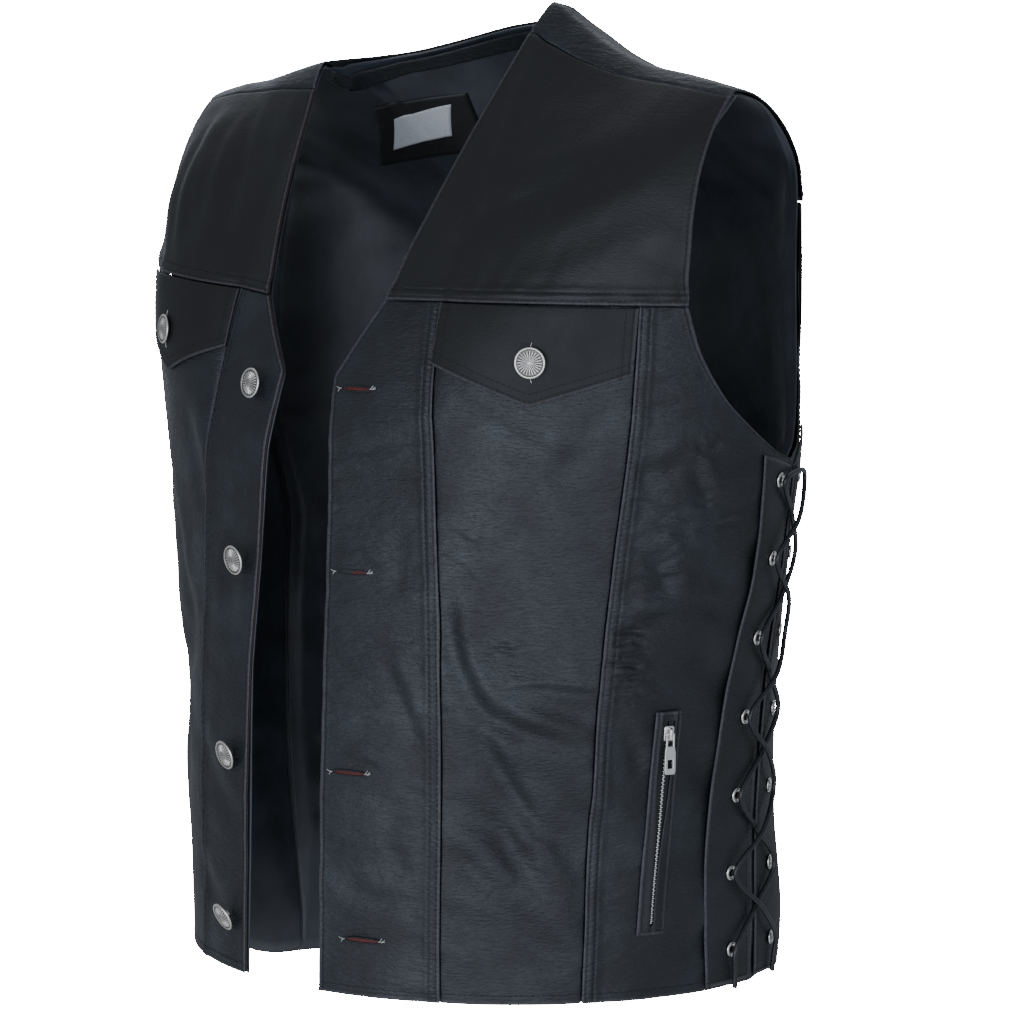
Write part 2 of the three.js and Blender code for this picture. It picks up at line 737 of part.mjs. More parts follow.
const backYoke = patch({
  top: alongBackTop,
  bottom: backSeam,
  left: yokeArm,
  right: yokeArmRight,
  across: BACK_COLUMNS,
  down: [0, 0.03, 0.12, 0.28, 0.5, 0.75, 1],
  gaps: "bottom",
});
const shoulderParts = [frontSide.left.shoulder, mirror(frontSide.right.shoulder)];
add("back_yoke", wall([backYoke, ...shoulderParts], 0, LEATHER), blackLeather);

const ARM_COLUMNS = 5;
const MIDDLE_COLUMNS = 14;
const armShare = ARM_COLUMNS / (2 * ARM_COLUMNS + MIDDLE_COLUMNS);
const leftBodyArm = part(leftArmhole, 1, YOKE_ARMHOLE_SHARE);
const rightBodyArm = otherSide(part(rightArmhole, 1, YOKE_ARMHOLE_SHARE));
const bodyTop = (at) => {
  if (at < armShare) return leftBodyArm(at / armShare);
  if (at > 1 - armShare) return rightBodyArm((1 - at) / armShare);
  return backSeam((at - armShare) / (1 - 2 * armShare));
};
const [leftSeam, rightSeam] = [line(SIDE_SEAM), line(SIDE_SEAM_RIGHT)];
const backBody = patch({
  top: bodyTop,
  bottom: line(BACK_HEM),
  left: leftSeam,
  right: otherSide(rightSeam),
  across: spread(0, 1, 2 * ARM_COLUMNS + MIDDLE_COLUMNS),
  down: spread(0, 1, SIDE_SEAM_STEPS),
  gaps: "top left right",
});
add("back_body", wall([backBody], 0, LEATHER), blackLeather);

// Lining: one shell, joined along the shoulders and side seams

const LINING_ARM_SHARE = 0.42;
const LINING_ROWS = [0, 0.03, 0.09, 0.17, 0.26, 0.34, ...spread(LINING_ARM_SHARE, 1, 6)];

function inTwo(first, second, share) {
  return (at) => (at < share ? first(at / share) : second((at - share) / (1 - share)));
}

function liningFront(front) {
  const edges = frontEdges(front);
  const vee = [thetaAt(front.vee.x, front.vee.z), front.vee.z];
  const hemTheta = thetaAt(front.edge[2].x, HEM_Z);
  const seamHem = FRONT_SEAM.at(-1).theta;
  const seamShare = (seamHem - hemTheta) / (SIDE_SEAM.at(-1).theta - hemTheta);
  const yokeShare = 0.26;
  const veeShare = 0.34;
  const yokeCorner = [edges.yokeTheta, YOKE_Z];
  const neckline = inTwo(
    edges.between(edges.ridge(0), yokeCorner),
    edges.between(yokeCorner, vee),
    yokeShare / veeShare,
  );
  const hemShare = (z) => (z - YOKE_Z) / (HEM_Z - YOKE_Z);
  const frontEdge = part(edges.frontEdge, hemShare(front.vee.z), 1);
  const armSide = inTwo(
    edges.between(edges.ridge(1), [edges.armTheta, front.yokeTipZ]),
    part(edges.side, 0, ARMHOLE_SHARE),
    yokeShare / LINING_ARM_SHARE,
  );
  return patch({
    top: edges.ridge,
    bottom: inTwo(edges.hem(hemTheta, seamHem), edges.sideHem, seamShare),
    left: inTwo(neckline, frontEdge, veeShare),
    right: inTwo(armSide, edges.sideSeam, LINING_ARM_SHARE),
    across: SHOULDER_COLUMNS,
    down: LINING_ROWS,
  });
}

const liningBack = patch({
  top: alongBackTop,
  bottom: line(BACK_HEM),
  left: inTwo(leftArmhole, leftSeam, LINING_ARM_SHARE),
  right: otherSide(inTwo(rightArmhole, rightSeam, LINING_ARM_SHARE)),
  across: BACK_COLUMNS,
  down: LINING_ROWS,
});

// The lining comes up close to the leather at its free edges and hangs further off in the middle
function sunk(grid) {
  const rows = grid.length - 1;
  return grid.map((row, r) => {
    const columns = row.length - 1;
    return row.map(([theta, z], c) => {
      const inside = Math.min(c, columns - c, rows - r, LINING_ROWS[r] / LINING_SINK.reach);
      return [theta, z, mix(LINING_SINK.edge, LINING_SINK.middle, clamp(inside))];
    });
  });
}

const liningGrids = [liningBack, liningFront(FRONTS.left), mirror(liningFront(FRONTS.right))];
const foldedIn = (theta, z) => Math.min(foldHeight(theta, z), 0);
add("lining", wall(liningGrids.map(sunk), 0, SATIN, { foldAt: foldedIn }), blackSatin);

const neckStart = SHOULDER_COLUMNS.length - 1;
const neckFacing = patch({
  top: alongBackTop,
  bottom: backSeam,
  left: yokeArm,
  right: yokeArmRight,
  across: BACK_COLUMNS.slice(neckStart, neckStart + NECK_ANGLES.length),
  down: [0.01, 0.06, FACING_HEIGHT / 250],
});
add("neck_facing", wall([neckFacing], -FACING_SINK, LEATHER), blackLeather);

// Side strips, their eyelets and laces

const SEAM_BY_HEIGHT = [...SIDE_SEAM].reverse();
const seamThetaAt = (z) => smooth(SEAM_BY_HEIGHT, "z", "theta", Math.min(Math.max(z, -634), -284));
const STRIP_FAR_TOP = { front: -279, back: -264 };
const STRIP_TOP_Z = -288;

function mmPerDegree(theta, z) {
  return bare(theta + 0.5, z).distanceTo(bare(theta - 0.5, z));
}

// The angle that lies a distance in mm from the side seam: to the front is negative
function fromSeam(distance, z) {
  const seam = seamThetaAt(z);
  return seam + distance / mmPerDegree(seam + Math.sign(distance) * 6, z);
}

function stripGrid(which) {
  const sign = which === "front" ? -1 : 1;
  const columns = [0, 0.5, 1];
  const grid = spread(0, 1, 13).map((t) => {
    const bottom = HEM_Z + 1;
    return columns.map((s) => {
      const near = mix(STRIP_TOP_Z, bottom, t);
      const far = mix(STRIP_FAR_TOP[which], bottom, t);
      const z = mix(near, far, s);
      return [fromSeam(sign * (STRIP_FROM_SEAM + STRIP_WIDTH * s), z), z];
    });
  });
  return sign < 0 ? grid.map((row) => row.reverse()) : grid;
}

const stripMiddle = STRIP_FROM_SEAM + STRIP_WIDTH / 2;
const eyeletZ = (row) => EYELET_TOP_Z - (row - 1) * EYELET_PITCH;
const STRIP_SIGNS = { front: -1, back: 1, between: 0 };
const eyeletTheta = (which, z) =>
  which === "between" ? seamThetaAt(z) : fromSeam(STRIP_SIGNS[which] * stripMiddle, z);

function eyeletGeometry() {
  const { hole, barrel, rim, rimHeight } = EYELET;
  const seat = 0.45;
  const foot = 0.1 - STRIP_THICKNESS;
  const profile = [
    [hole, foot],
    [barrel, foot],
    [barrel, seat],
    [rim, seat],
    [barrel + 0.2, seat + rimHeight],
    [hole, foot],
  ];
  return new THREE.LatheGeometry(profile.map(([r, y]) => new THREE.Vector2(r, y)), 8);
}

for (const [side, sign] of [["left", 1], ["right", -1]]) {
  for (const which of ["front", "back"]) {
    const grid = stripGrid(which);
    const sided = sign > 0 ? grid : mirror(grid);
    let strip = toManifold(wall([sided], STRIP_LIFT + STRIP_THICKNESS, STRIP_THICKNESS));
    for (let row = 1; row <= EYELET_ROWS; row += 1) {
      const z = eyeletZ(row);
      const matrix = surfaceMatrix(sign * eyeletTheta(which, z), z, STRIP_LIFT + STRIP_THICKNESS);
      const radius = EYELET.barrel + EYELET.clearance;
      const drill = new THREE.CylinderGeometry(radius, radius, 8, 8).applyMatrix4(matrix);
      strip = strip.subtract(toManifold(drill));
      const eyelet = add(`eyelet_${which}_${side}_${row}`, eyeletGeometry(), silver);
      eyelet.applyMatrix4(matrix);
    }
    add(`side_strip_${which}_${side}`, fromManifold(strip), blackLeather);
  }
  const stops = LACE_STOPS.map(({ strip, row, lift }) => {
    const z = eyeletZ(row);
    return layer(sign * eyeletTheta(strip, z), z, lift);
  });
  const corners = spread(0, 315, 7).map((angle) => {
    const turn = radians(angle);
    return new THREE.Vector2(Math.cos(turn), Math.sin(turn)).multiplyScalar(LACE_DIAMETER / 2);
  });
  const lace = new THREE.ExtrudeGeometry(new THREE.Shape(corners), {
    steps: 66,
    extrudePath: new THREE.CatmullRomCurve3(stops),
    curveSegments: 1,
  });
  add(`lace_${side}`, lace, lacing);
}

// Pocket zips: a welt round the slot, a slider at its top and a pull that swings on it

const SLIDER = { width: 7.4, height: 10, thickness: 2.6 };
const BRIDGE = { width: 2.2, leg: 1.4, reach: 3.6, room: 2.2, bar: 1.1 };
const PULL = { width: 8, length: 26, thickness: 1.2, end: 0.6, slotWidth: 3.8, slotLength: 8 };

function weltTheta(z) {
  const { top, bottom } = WELT;
  return mix(top.theta, bottom.theta, (z - top.z) / (bottom.z - top.z));
}

function weltGrid() {
  const { top, bottom, halfWidth, slotHalfWidth, slotEnd } = WELT;
  const heights = [
    top.z,
    ...spread(top.z - slotEnd, bottom.z + slotEnd, 6),
    bottom.z,
  ];
  return heights.map((z) => {
    const middle = weltTheta(z);
    return [-halfWidth, -slotHalfWidth, slotHalfWidth, halfWidth].map((distance) => [
      middle + distance / mmPerDegree(middle, z),
      z,
    ]);
  });
}

function box(width, fromY, toY, fromZ, toZ) {
  const geometry = new THREE.BoxGeometry(width, toY - fromY, toZ - fromZ);
  return geometry.translate(0, (fromY + toY) / 2, (fromZ + toZ) / 2);
}

function sliderGeometry() {
  const { width, height, thickness } = SLIDER;
  const { reach, leg, room, bar } = BRIDGE;
  const barBottom = thickness + room;
  const end = reach + leg / 2;
  let solid = toManifold(box(width, 0, thickness, -height / 2, height / 2));
  for (const z of [-reach, reach]) {
    const post = box(BRIDGE.width, thickness - 0.5, barBottom + 0.2, z - leg / 2, z + leg / 2);
    solid = solid.add(toManifold(post));
  }
  return fromManifold(solid.add(toManifold(box(BRIDGE.width, barBottom, barBottom + bar, -end, end))));
}

function pullGeometry() {
  const { width, length, thickness, end, slotWidth, slotLength } = PULL;
  const outline = new THREE.Shape();
  outline.moveTo(-width / 2, -end);
  outline.lineTo(width / 2, -end);
  outline.lineTo(width / 2, length - width / 2);
  outline.absarc(0, length - width / 2, width / 2, 0, Math.PI);
  outline.lineTo(-width / 2, -end);
  const slot = new THREE.Path();
  slot.moveTo(-slotWidth / 2, end);
  slot.lineTo(-slotWidth / 2, slotLength);
  slot.lineTo(slotWidth / 2, slotLength);
  slot.lineTo(slotWidth / 2, end);
  outline.holes.push(slot);
  const sheet = { depth: thickness, bevelEnabled: false, curveSegments: 5 };
  const plate = new THREE.ExtrudeGeometry(outline, sheet);
  return plate.translate(0, 0, -thickness / 2).rotateX(Math.PI / 2);
}

// Axes with +X along the given one and +Z hanging straight down
function hangingMatrix(along, origin) {
  const down = new THREE.Vector3(0, 0, -1);
  down.addScaledVector(along, -down.dot(along)).normalize();
  return new THREE.Matrix4().makeBasis(along, down.clone().cross(along), down).setPosition(origin);
}

for (const [side, sign] of [["left", 1], ["right", -1]]) {
  const grid = weltGrid();
  const sided = sign > 0 ? grid : mirror(grid);
  const lastSlotRow = grid.length - 3;
  const inSlot = (r, c) => c === 1 && r >= 1 && r <= lastSlotRow;
  const welt = wall([sided], STRIP_LIFT + WELT_THICKNESS, WELT_THICKNESS, { leaveOut: inSlot });
  add(`zip_welt_${side}`, welt, blackLeather);

  const z = WELT.top.z - WELT.slotEnd - SLIDER_BELOW_SLOT_TOP;
  const theta = sign * weltTheta(z);
  const seat = surfaceMatrix(theta, z, STRIP_LIFT);
  add(`zip_slider_${side}`, sliderGeometry(), silver).applyMatrix4(seat);
  const pinHeight = SLIDER.thickness + BRIDGE.room / 2;
  const pin = new THREE.Vector3(0, pinHeight, 0).applyMatrix4(seat);
  const along = new THREE.Vector3().setFromMatrixColumn(seat, 0).normalize();
  add(`zip_pull_${side}`, pullGeometry(), silver).applyMatrix4(hangingMatrix(along, pin));
}

// Buttons: a rimmed face on a shank

function buttonGeometry(shank) {
  const radius = BUTTON_DIAMETER / 2;
  const profile = [
    [0, 0],
    [2.4, 0],
    [2.4, shank],
    [radius - 0.8, shank + 0.3],
    [radius, shank + 1.1],
    [radius - 0.8, shank + 2.1],
    [radius - 2, shank + 1.6],
    [3, shank + 2.4],
    [0, shank + 2.6],
  ];
  return new THREE.LatheGeometry(profile.map(([r, y]) => new THREE.Vector2(r, y)), 12);
}

FRONT_BUTTONS.forEach(({ x, z, tilt }, i) => {
  const lean = 2.4 * Math.sin(radians(tilt));
  const seat = surfaceMatrix(thetaAt(x, z), z, 0.4 + lean, tilt);
  add(`front_button_${i + 1}`, buttonGeometry(4.5), silver).applyMatrix4(seat);
});

for (const [side, front] of Object.entries(FRONTS)) {
  const z = frontEdges(front).yokeSeamZ(FLAP_BUTTON.theta) - FLAP_BUTTON.drop;
  const lift = FLAP_LIFT + FLAP_THICKNESS + 0.4;
  const seat = surfaceMatrix(front.sign * FLAP_BUTTON.theta, z, lift);
  add(`flap_button_${side}`, buttonGeometry(1.2), silver).applyMatrix4(seat);
}

export default vest;
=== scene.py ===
# A black leather vest worn open, with its lining, stitching, buttons, zips and laced sides.
# Sizes below are in mm and become metres where a mesh is made. +Z is up, the front faces -Y and
# +X is the wearer's left. Angles run round the body in degrees from centre front.
import math

import bmesh
import bpy
import numpy as np
from mathutils import Matrix


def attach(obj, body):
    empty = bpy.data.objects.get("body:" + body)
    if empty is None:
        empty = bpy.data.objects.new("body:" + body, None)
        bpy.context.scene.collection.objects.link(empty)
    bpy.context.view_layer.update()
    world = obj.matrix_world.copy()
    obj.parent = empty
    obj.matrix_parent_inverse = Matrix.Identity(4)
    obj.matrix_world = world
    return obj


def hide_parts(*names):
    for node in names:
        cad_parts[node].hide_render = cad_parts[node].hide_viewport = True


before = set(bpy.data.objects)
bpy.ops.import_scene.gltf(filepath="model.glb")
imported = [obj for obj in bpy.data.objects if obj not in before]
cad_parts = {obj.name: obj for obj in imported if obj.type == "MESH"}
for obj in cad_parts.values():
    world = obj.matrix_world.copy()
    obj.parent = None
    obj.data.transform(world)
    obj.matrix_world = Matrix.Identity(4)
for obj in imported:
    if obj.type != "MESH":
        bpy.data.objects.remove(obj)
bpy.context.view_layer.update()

print("frame loaded")

# Camera

camera = {
    "azimuth": 40, "elevation": 5.3, "roll": 0.8,
    "distance": 2.3, "target": (0.053, 0, -0.328), "lens": 120.6, "sensor": 36,
}


def addCamera(settings):
    a, e, r = (math.radians(settings[key]) for key in ("azimuth", "elevation", "roll"))
    back = np.array([math.sin(a) * math.cos(e), -math.cos(a) * math.cos(e), math.sin(e)])
    level = np.array([math.cos(a), math.sin(a), 0])
    rise = np.cross(back, level)
    right = level * math.cos(r) + rise * math.sin(r)
    up = rise * math.cos(r) - level * math.sin(r)
    data = bpy.data.cameras.new("photoCamera")
    data.lens, data.sensor_width = settings["lens"], settings["sensor"]
    obj = bpy.data.objects.new("photoCamera", data)
    place = np.array(settings["target"]) + back * settings["distance"]
    matrix = np.eye(4)
    matrix[:3] = np.column_stack([right, up, back, place])
    obj.matrix_world = Matrix(matrix.tolist())
    bpy.context.scene.collection.objects.link(obj)
    bpy.context.scene.camera = obj


addCamera(camera)

# The form of the garment, as in the part's source

# z, half width, depth in front of the middle, depth behind it, y of the middle
rings = np.array([
    (-650, 207, 209, 162, 50), (-540, 212, 200, 156, 42), (-430, 221, 190, 154, 33),
    (-350, 232, 180, 158, 28), (-270, 245, 172, 164, 22), (-175, 248, 176, 164, 20),
    (-60, 247, 168, 158, 16), (60, 244, 150, 150, 12)], float)
# x, y and z of the line along the top of the shoulders
shoulders = np.array([
    (-260, 8, -60), (-231, 1, -48), (-195, -6, -41), (-165, -11, -38), (-135, -15, -32),
    (-104, -18, -26), (0, -18, -8), (97, -18, 9), (115, -16, -2), (135, -13, -16),
    (165, -9, -31), (195, -5, -38), (231, 2, -48), (260, 8, -60)], float)
neckX, tipX = 97, 231
neckHole = {"middleX": -3.5, "radius": 100.5, "y": -18, "depth": 75, "fade": 25, "spread": 82,
            "spreadBelow": 50}
neckHeights = np.array([(0, 9), (30, 6), (60, 3), (90, -1), (135, -18), (180, -26)], float)
fall = {
    "front": {"neck": 270, "tip": 140, "neckPower": 1.3, "tipPower": 3.2},
    "back": {"neck": 170, "tip": 50, "power": 2.2},
    "round": 0.2, "roundBehindTip": 0.95,
}
mmPerDegree = 3.6

# theta, z, slant from upright, half length, half width, height
folds = np.array([
    (45, -505, -48, 70, 24, -4), (51, -462, -46, 60, 22, 4), (38, -395, -38, 50, 22, -3),
    (62, -425, -20, 34, 20, 4), (114, -590, 0, 56, 42, 8), (136, -550, 10, 70, 30, -5),
    (-46, -105, 6, 40, 22, 3), (-31, -110, -4, 40, 20, -3), (-42, -430, 40, 70, 24, -4),
    (-58, -540, 24, 60, 24, 4), (-112, -520, 0, 80, 46, 3.5), (160, -420, 24, 90, 30, -5),
    (196, -480, -20, 90, 30, 5), (178, -590, 4, 80, 32, -5), (216, -360, 30, 70, 28, -4)], float)


def ease(value):
    value = np.clip(value, 0, 1)
    return value * value * (3 - 2 * value)


def mix(a, b, share):
    return a + (b - a) * share


# A smooth value from a table: a cubic between neighbouring rows, its slope taken across them
def through(rows, column, at):
    x, y = rows[:, 0], rows[:, column]
    slope = np.empty_like(y)
    slope[1:-1] = (y[2:] - y[:-2]) / (x[2:] - x[:-2])
    slope[0], slope[-1] = (y[1] - y[0]) / (x[1] - x[0]), (y[-1] - y[-2]) / (x[-1] - x[-2])
    i = np.clip(np.searchsorted(x, at, side="left") - 1, 0, len(x) - 2)
    step = x[i + 1] - x[i]
    t = np.clip((at - x[i]) / step, 0, 1)
    return ((2 * t**3 - 3 * t**2 + 1) * y[i] + (t**3 - 2 * t**2 + t) * step * slope[i]
            + (3 * t**2 - 2 * t**3) * y[i + 1] + (t**3 - t**2) * step * slope[i + 1])


def ring(z, column):
    return through(rings, column, np.clip(z, rings[0, 0], rings[-1, 0]))


def thetaAt(x, z):
    return np.degrees(np.arcsin(np.clip(x / ring(z, 1), -1, 1)))


# The top line over x: the shoulder line, or behind it the edge of the neck hole
def topLine(x, inFront):
    across = (x - neckHole["middleX"]) / neckHole["radius"]
    inHole = ~inFront & (np.abs(across) < 1)
    inside = np.clip(across, -1, 1)
    holeY = neckHole["y"] + neckHole["depth"] * np.sqrt(1 - inside**2)
    holeZ = through(neckHeights, 1, np.degrees(np.arccos(inside)))
    opening = ease((1 - np.abs(inside)) * neckHole["radius"] / neckHole["fade"])
    return (np.where(inHole, holeY, through(shoulders, 1, x)),
            np.where(inHole, holeZ, through(shoulders, 2, x)), np.where(inHole, opening, 0))


# A ring round the body at each height, drawn in to the top line by a share that rises from 0
# there to 1 some way below it
def bare(theta, z):
    theta, z = np.broadcast_arrays(np.asarray(theta, float), np.asarray(z, float))
    cosine = np.cos(np.radians(theta))
    inFront = cosine > 0
    x = ring(z, 1) * np.sin(np.radians(theta))
    y = ring(z, 4) - np.where(inFront, ring(z, 2), ring(z, 3)) * cosine
    topY, topZ, opening = topLine(x, inFront)
    out = np.clip((np.abs(x) - neckX) / (tipX - neckX), 0, 1)
    front, back = fall["front"], fall["back"]
    # Behind, the pull of the neck hole spreads and softens below its edge
    soft = neckHole["y"] + neckHole["depth"] * np.exp(-(((x
                                                          - neckHole["middleX"]) / neckHole["spread"]) ** 2))
    topY = np.where(inFront, topY, mix(topY, soft, ease((topZ - z) / neckHole["spreadBelow"])))
    depth = np.where(inFront, mix(front["neck"], front["tip"], out), mix(back["neck"], back["tip"], out))
    power = np.where(inFront, mix(front["neckPower"], front["tipPower"], out), back["power"])
    u = np.clip((topZ - z) / depth, 0, 1)
    turn = np.where(inFront, fall["round"], mix(fall["round"], fall["roundBehindTip"], out)) * (1 - opening)
    share = (1 - turn) * (1 - (1 - u) ** power) + turn * np.sqrt(np.clip(1 - (1 - u) ** 2, 0, 1))
    return np.stack([x, mix(topY, y, share), z], -1)


def unit(vectors):
    return vectors / np.maximum(np.linalg.norm(vectors, axis=-1, keepdims=True), 1e-9)


# Outward direction, and depth below the top line
def facing(theta, z):
    theta, z = np.broadcast_arrays(np.asarray(theta, float), np.asarray(z, float))
    inFront = np.cos(np.radians(theta)) > 0
    half = ring(z, 1)
    heightAt = lambda angle: topLine(half * np.sin(np.radians(angle)), inFront)[1]
    below = np.maximum(heightAt(theta) - z, 0.5)
    level = heightAt(theta) - below
    turn = 0.5
    along = (bare(theta + turn, heightAt(theta + turn) - below)
             - bare(theta - turn, heightAt(theta - turn) - below))
    up = bare(theta, level + np.minimum(below, 1)) - bare(theta, level - 1)
    return unit(np.cross(along, up)), below


# Each fold is a hill or trough: height times exp of minus both distances squared, the distances
# taken along and across its slant, in its half length and half width
def foldHeight(theta, z):
    total = np.zeros(np.broadcast(theta, z).shape)
    for place, level, slant, length, width, height in folds:
        x = ((theta - place + 540) % 360 - 180) * mmPerDegree
        y = z - level
        lean = math.radians(slant)
        along = (y * math.cos(lean) + x * math.sin(lean)) / length
        across = (x * math.cos(lean) - y * math.sin(lean)) / width
        total = total + height * np.exp(-(along**2) - across**2)
    return total


# A point on a layer at a lift off the form, with relief on top. Near the shoulder line layers
# are shifted straight up or down, so that they never cross at the sharp turn.
def layer(theta, z, lift, relief):
    out, below = facing(theta, z)
    inFront = np.cos(np.radians(theta)) > 0
    x = ring(z, 1) * np.sin(np.radians(theta))
    share = np.maximum(ease(below / 25), topLine(x, inFront)[2])
    upright = np.zeros_like(out)
    upright[..., 2] = 1
    along = unit(mix(upright, out, share[..., None]))
    reach = lift / np.maximum((along * out).sum(-1), 0.35)
    rise = relief * ease(below / 25)
    return bare(theta, z) + out * rise[..., None] + along * reach[..., None]


def onForm(theta, z, lift):
    return layer(np.asarray(theta, float), np.asarray(z, float), lift, foldHeight(theta, z))


# Axes on the form: x round the body, y out, z down it, and the point there
def seatOn(theta, z, lift, tilt=0):
    out = facing(theta, z)[0]
    level = unit(np.cross([0, 0, 1], out))
    down = unit(np.cross(level, out))
    lean = math.radians(tilt)
    turned = np.array([level, out * math.cos(lean) + down * math.sin(lean),
                       down * math.cos(lean) - out * math.sin(lean)])
    return turned, onForm(theta, z, lift)


# Seeded soft noise over a flat plane: random heights at lattice points, eased between them
lattice = np.random.default_rng(11).uniform(-1, 1, (257, 257))


def softNoise(u, v, sizeU, sizeV, shift=0):
    x, y = u / sizeU + shift * 7.31, v / sizeV + shift * 3.77
    i, j = np.floor(x).astype(int), np.floor(y).astype(int)
    s, t = ease(x - i), ease(y - j)
    at = lambda a, b: lattice[(i + a) % 257, (j + b) % 257]
    return mix(mix(at(0, 0), at(1, 0), s), mix(at(0, 1), at(1, 1), s), t)


# Long edges and seams: share of the way down, theta, z
centreSeamRows = np.array([(0, 22.7, -184), (0.25, 25, -296), (0.56, 29.2, -436), (1, 31, -632)], float)
frontSeamRows = np.array([(0, 59, -184), (0.25, 57.2, -296), (0.56, 57, -436), (1, 56.2, -632)], float)
sideSeamRows = np.array([
    (0, 104, -284), (0.19, 105.5, -350), (0.33, 102.5, -400), (0.56, 98.6, -480),
    (0.75, 96.6, -546), (1, 97, -634)], float)
# On the wearer's right the back hangs lower, and the hem of the front's side panel slopes to it
sideSeamRowsRight = np.vstack([sideSeamRows[:-1], (1, 97, -677)])
sideHemRowsRight = np.array([
    (0, 56.2, -632), (0.2, 64, -634), (0.4, 72, -650), (0.6, 80, -667), (0.8, 88, -675), (1, 97, -677)],
    float)
frontArmholeRows = np.array([
    (0.24, 72, -215), (0.44, 78, -243), (0.64, 86, -263), (0.82, 95, -277), (1, 104, -284)], float)
backArmholeRows = {
    "left": [(0.3, 115, -66), (0.55, 118, -118), (0.72, 122, -165), (0.86, 118.5, -235),
             (0.94, 111.5, -273), (1, 104, -284)],
    "right": [(0.3, 110, -80), (0.55, 109, -118), (0.72, 106.5, -165), (0.86, 104.8, -235),
              (0.94, 104.1, -273), (1, 104, -284)],
}
backHemRows = np.array([
    (0, 97, -634), (0.08, 106, -632), (0.21, 119, -641), (0.5, 180, -678),
    (0.79, 241, -678), (0.93, 255, -678), (1, 263, -677)], float)
backSeamEnds = {"left": 118, "right": 109, "z": -118}
yokeZ, hemZ = -184, -632
armholeShare = 0.25
seamDrops = np.array([(90, 21), (135, 12), (165, 8), (231, 5)], float)
fronts = {
    "left": {"sign": 1, "neckX": 97, "yokeX": 52, "yokeTipZ": -184, "vee": (22, -233),
             "edge": ((24, -300), (26, -430), (26, -632))},
    "right": {"sign": -1, "neckX": 104, "yokeX": 62, "yokeTipZ": -168, "vee": (28, -232),
              "edge": ((36, -300), (42, -430), (43, -632))},
}
layers = {"leather": 1.4, "satin": 1, "flap": 1.6, "strip": 1.6, "welt": 1.3,
          "flapLift": 0.9, "stripLift": 1, "facingSink": 6.8, "facingHeight": 28,
          "seamGap": 0.3, "yokeSeamGap": 0.5}


def curve(rows):
    rows = np.array(rows, float)
    return lambda at: (through(rows, 1, at), through(rows, 2, at))


def polyline(rows):
    rows = np.array(rows, float)
    return lambda at: (np.interp(at, rows[:, 0], rows[:, 1]), np.interp(at, rows[:, 0], rows[:, 2]))


def between(start, end):
    return lambda at: (mix(start[0], end[0], at), mix(start[1], end[1], at))


def part(line, start, end):
    return lambda at: line(mix(start, end, at))


def inTwo(first, second, share):
    def joined(at):
        at = np.asarray(at, float)
        a, b = first(np.clip(at / share, 0, 1)), second(np.clip((at - share) / (1 - share), 0, 1))
        return tuple(np.where(at < share, p, q) for p, q in zip(a, b))
    return joined


# A grid of (theta, z) between four edges: both straight blends of opposite edges, less the
# blend of the corners. Insets in mm draw its sides in where they meet another piece.
def gridBetween(top, bottom, near, far, across, down, insets):
    s, t = across[None, :], down[:, None]
    tops, bottoms = top(across), bottom(across)
    nears, fars = near(down), far(down)
    theta, z = [
        mix(tops[i][None, :], bottoms[i][None, :], t) + mix(nears[i][:, None], fars[i][:, None], s)
        - mix(mix(tops[i][0], tops[i][-1], s), mix(bottoms[i][0], bottoms[i][-1], s), t)
        for i in (0, 1)]
    theta = theta + mix(insets.get("near", 0), -insets.get("far", 0), s) / mmPerDegree
    z = z + mix(-insets.get("top", 0), insets.get("bottom", 0), t)
    return theta, z


def frontLines(front):
    sign = front["sign"]
    shoulderZ = lambda x: through(shoulders, 2, sign * np.asarray(x, float))
    yokeTheta = float(thetaAt(front["yokeX"], yokeZ))
    armTheta = float(thetaAt(tipX, front["yokeTipZ"]))
    yokeHalf = float(ring(yokeZ, 1))

    def yokeSeamZ(theta):
        x = yokeHalf * np.sin(np.radians(theta))
        return mix(yokeZ, front["yokeTipZ"], (x - front["yokeX"]) / (tipX - front["yokeX"]))

    def yokeSeam(start, end):
        return lambda at: (mix(start, end, at), yokeSeamZ(mix(start, end, at)))

    def ridge(at):
        x = mix(front["neckX"], tipX, at)
        return thetaAt(x, shoulderZ(x)), shoulderZ(x)

    run = (front["neckX"] - front["yokeX"]) * seamDrops[0, 1]
    neckEndX = front["neckX"] - run / float(shoulderZ(front["neckX"]) - yokeZ)

    def shoulderSeam(at):
        x = mix(neckEndX, tipX, at)
        z = shoulderZ(mix(front["neckX"], tipX, at)) - np.interp(x, seamDrops[:, 0], seamDrops[:, 1])
        return thetaAt(x, z), z

    def slanted(rows):
        rows = rows.copy()
        rows[0, 2] = yokeSeamZ(rows[0, 1])
        return curve(rows)

    hemShare = lambda z: (z - yokeZ) / (hemZ - yokeZ)
    veeX, veeZ = front["vee"]
    frontEdge = polyline([(0, yokeTheta, yokeZ), (hemShare(veeZ), float(thetaAt(veeX, veeZ)), veeZ)]
                         + [(hemShare(z), float(thetaAt(x, z)), z) for x, z in front["edge"]])
    armhole = curve(np.vstack([(0, armTheta, front["yokeTipZ"]), frontArmholeRows]))
    sideSeam = curve(sideSeamRows if sign > 0 else sideSeamRowsRight)
    seamHem = (float(frontSeamRows[-1, 1]), hemZ)
    return {
        "ridge": ridge, "shoulderSeam": shoulderSeam, "yokeSeam": yokeSeam, "yokeSeamZ": yokeSeamZ,
        "yokeTheta": yokeTheta, "armTheta": armTheta, "frontEdge": frontEdge,
        "side": inTwo(armhole, sideSeam, armholeShare), "sideSeam": sideSeam,
        "sideHem": between(seamHem, tuple(sideSeamRows[-1, 1:])) if sign > 0 else curve(sideHemRowsRight),
        "centreSeam": slanted(centreSeamRows), "frontSeam": slanted(frontSeamRows),
    }


lines = {side: frontLines(front) for side, front in fronts.items()}

# Side strips, eyelets and laces: where they lie

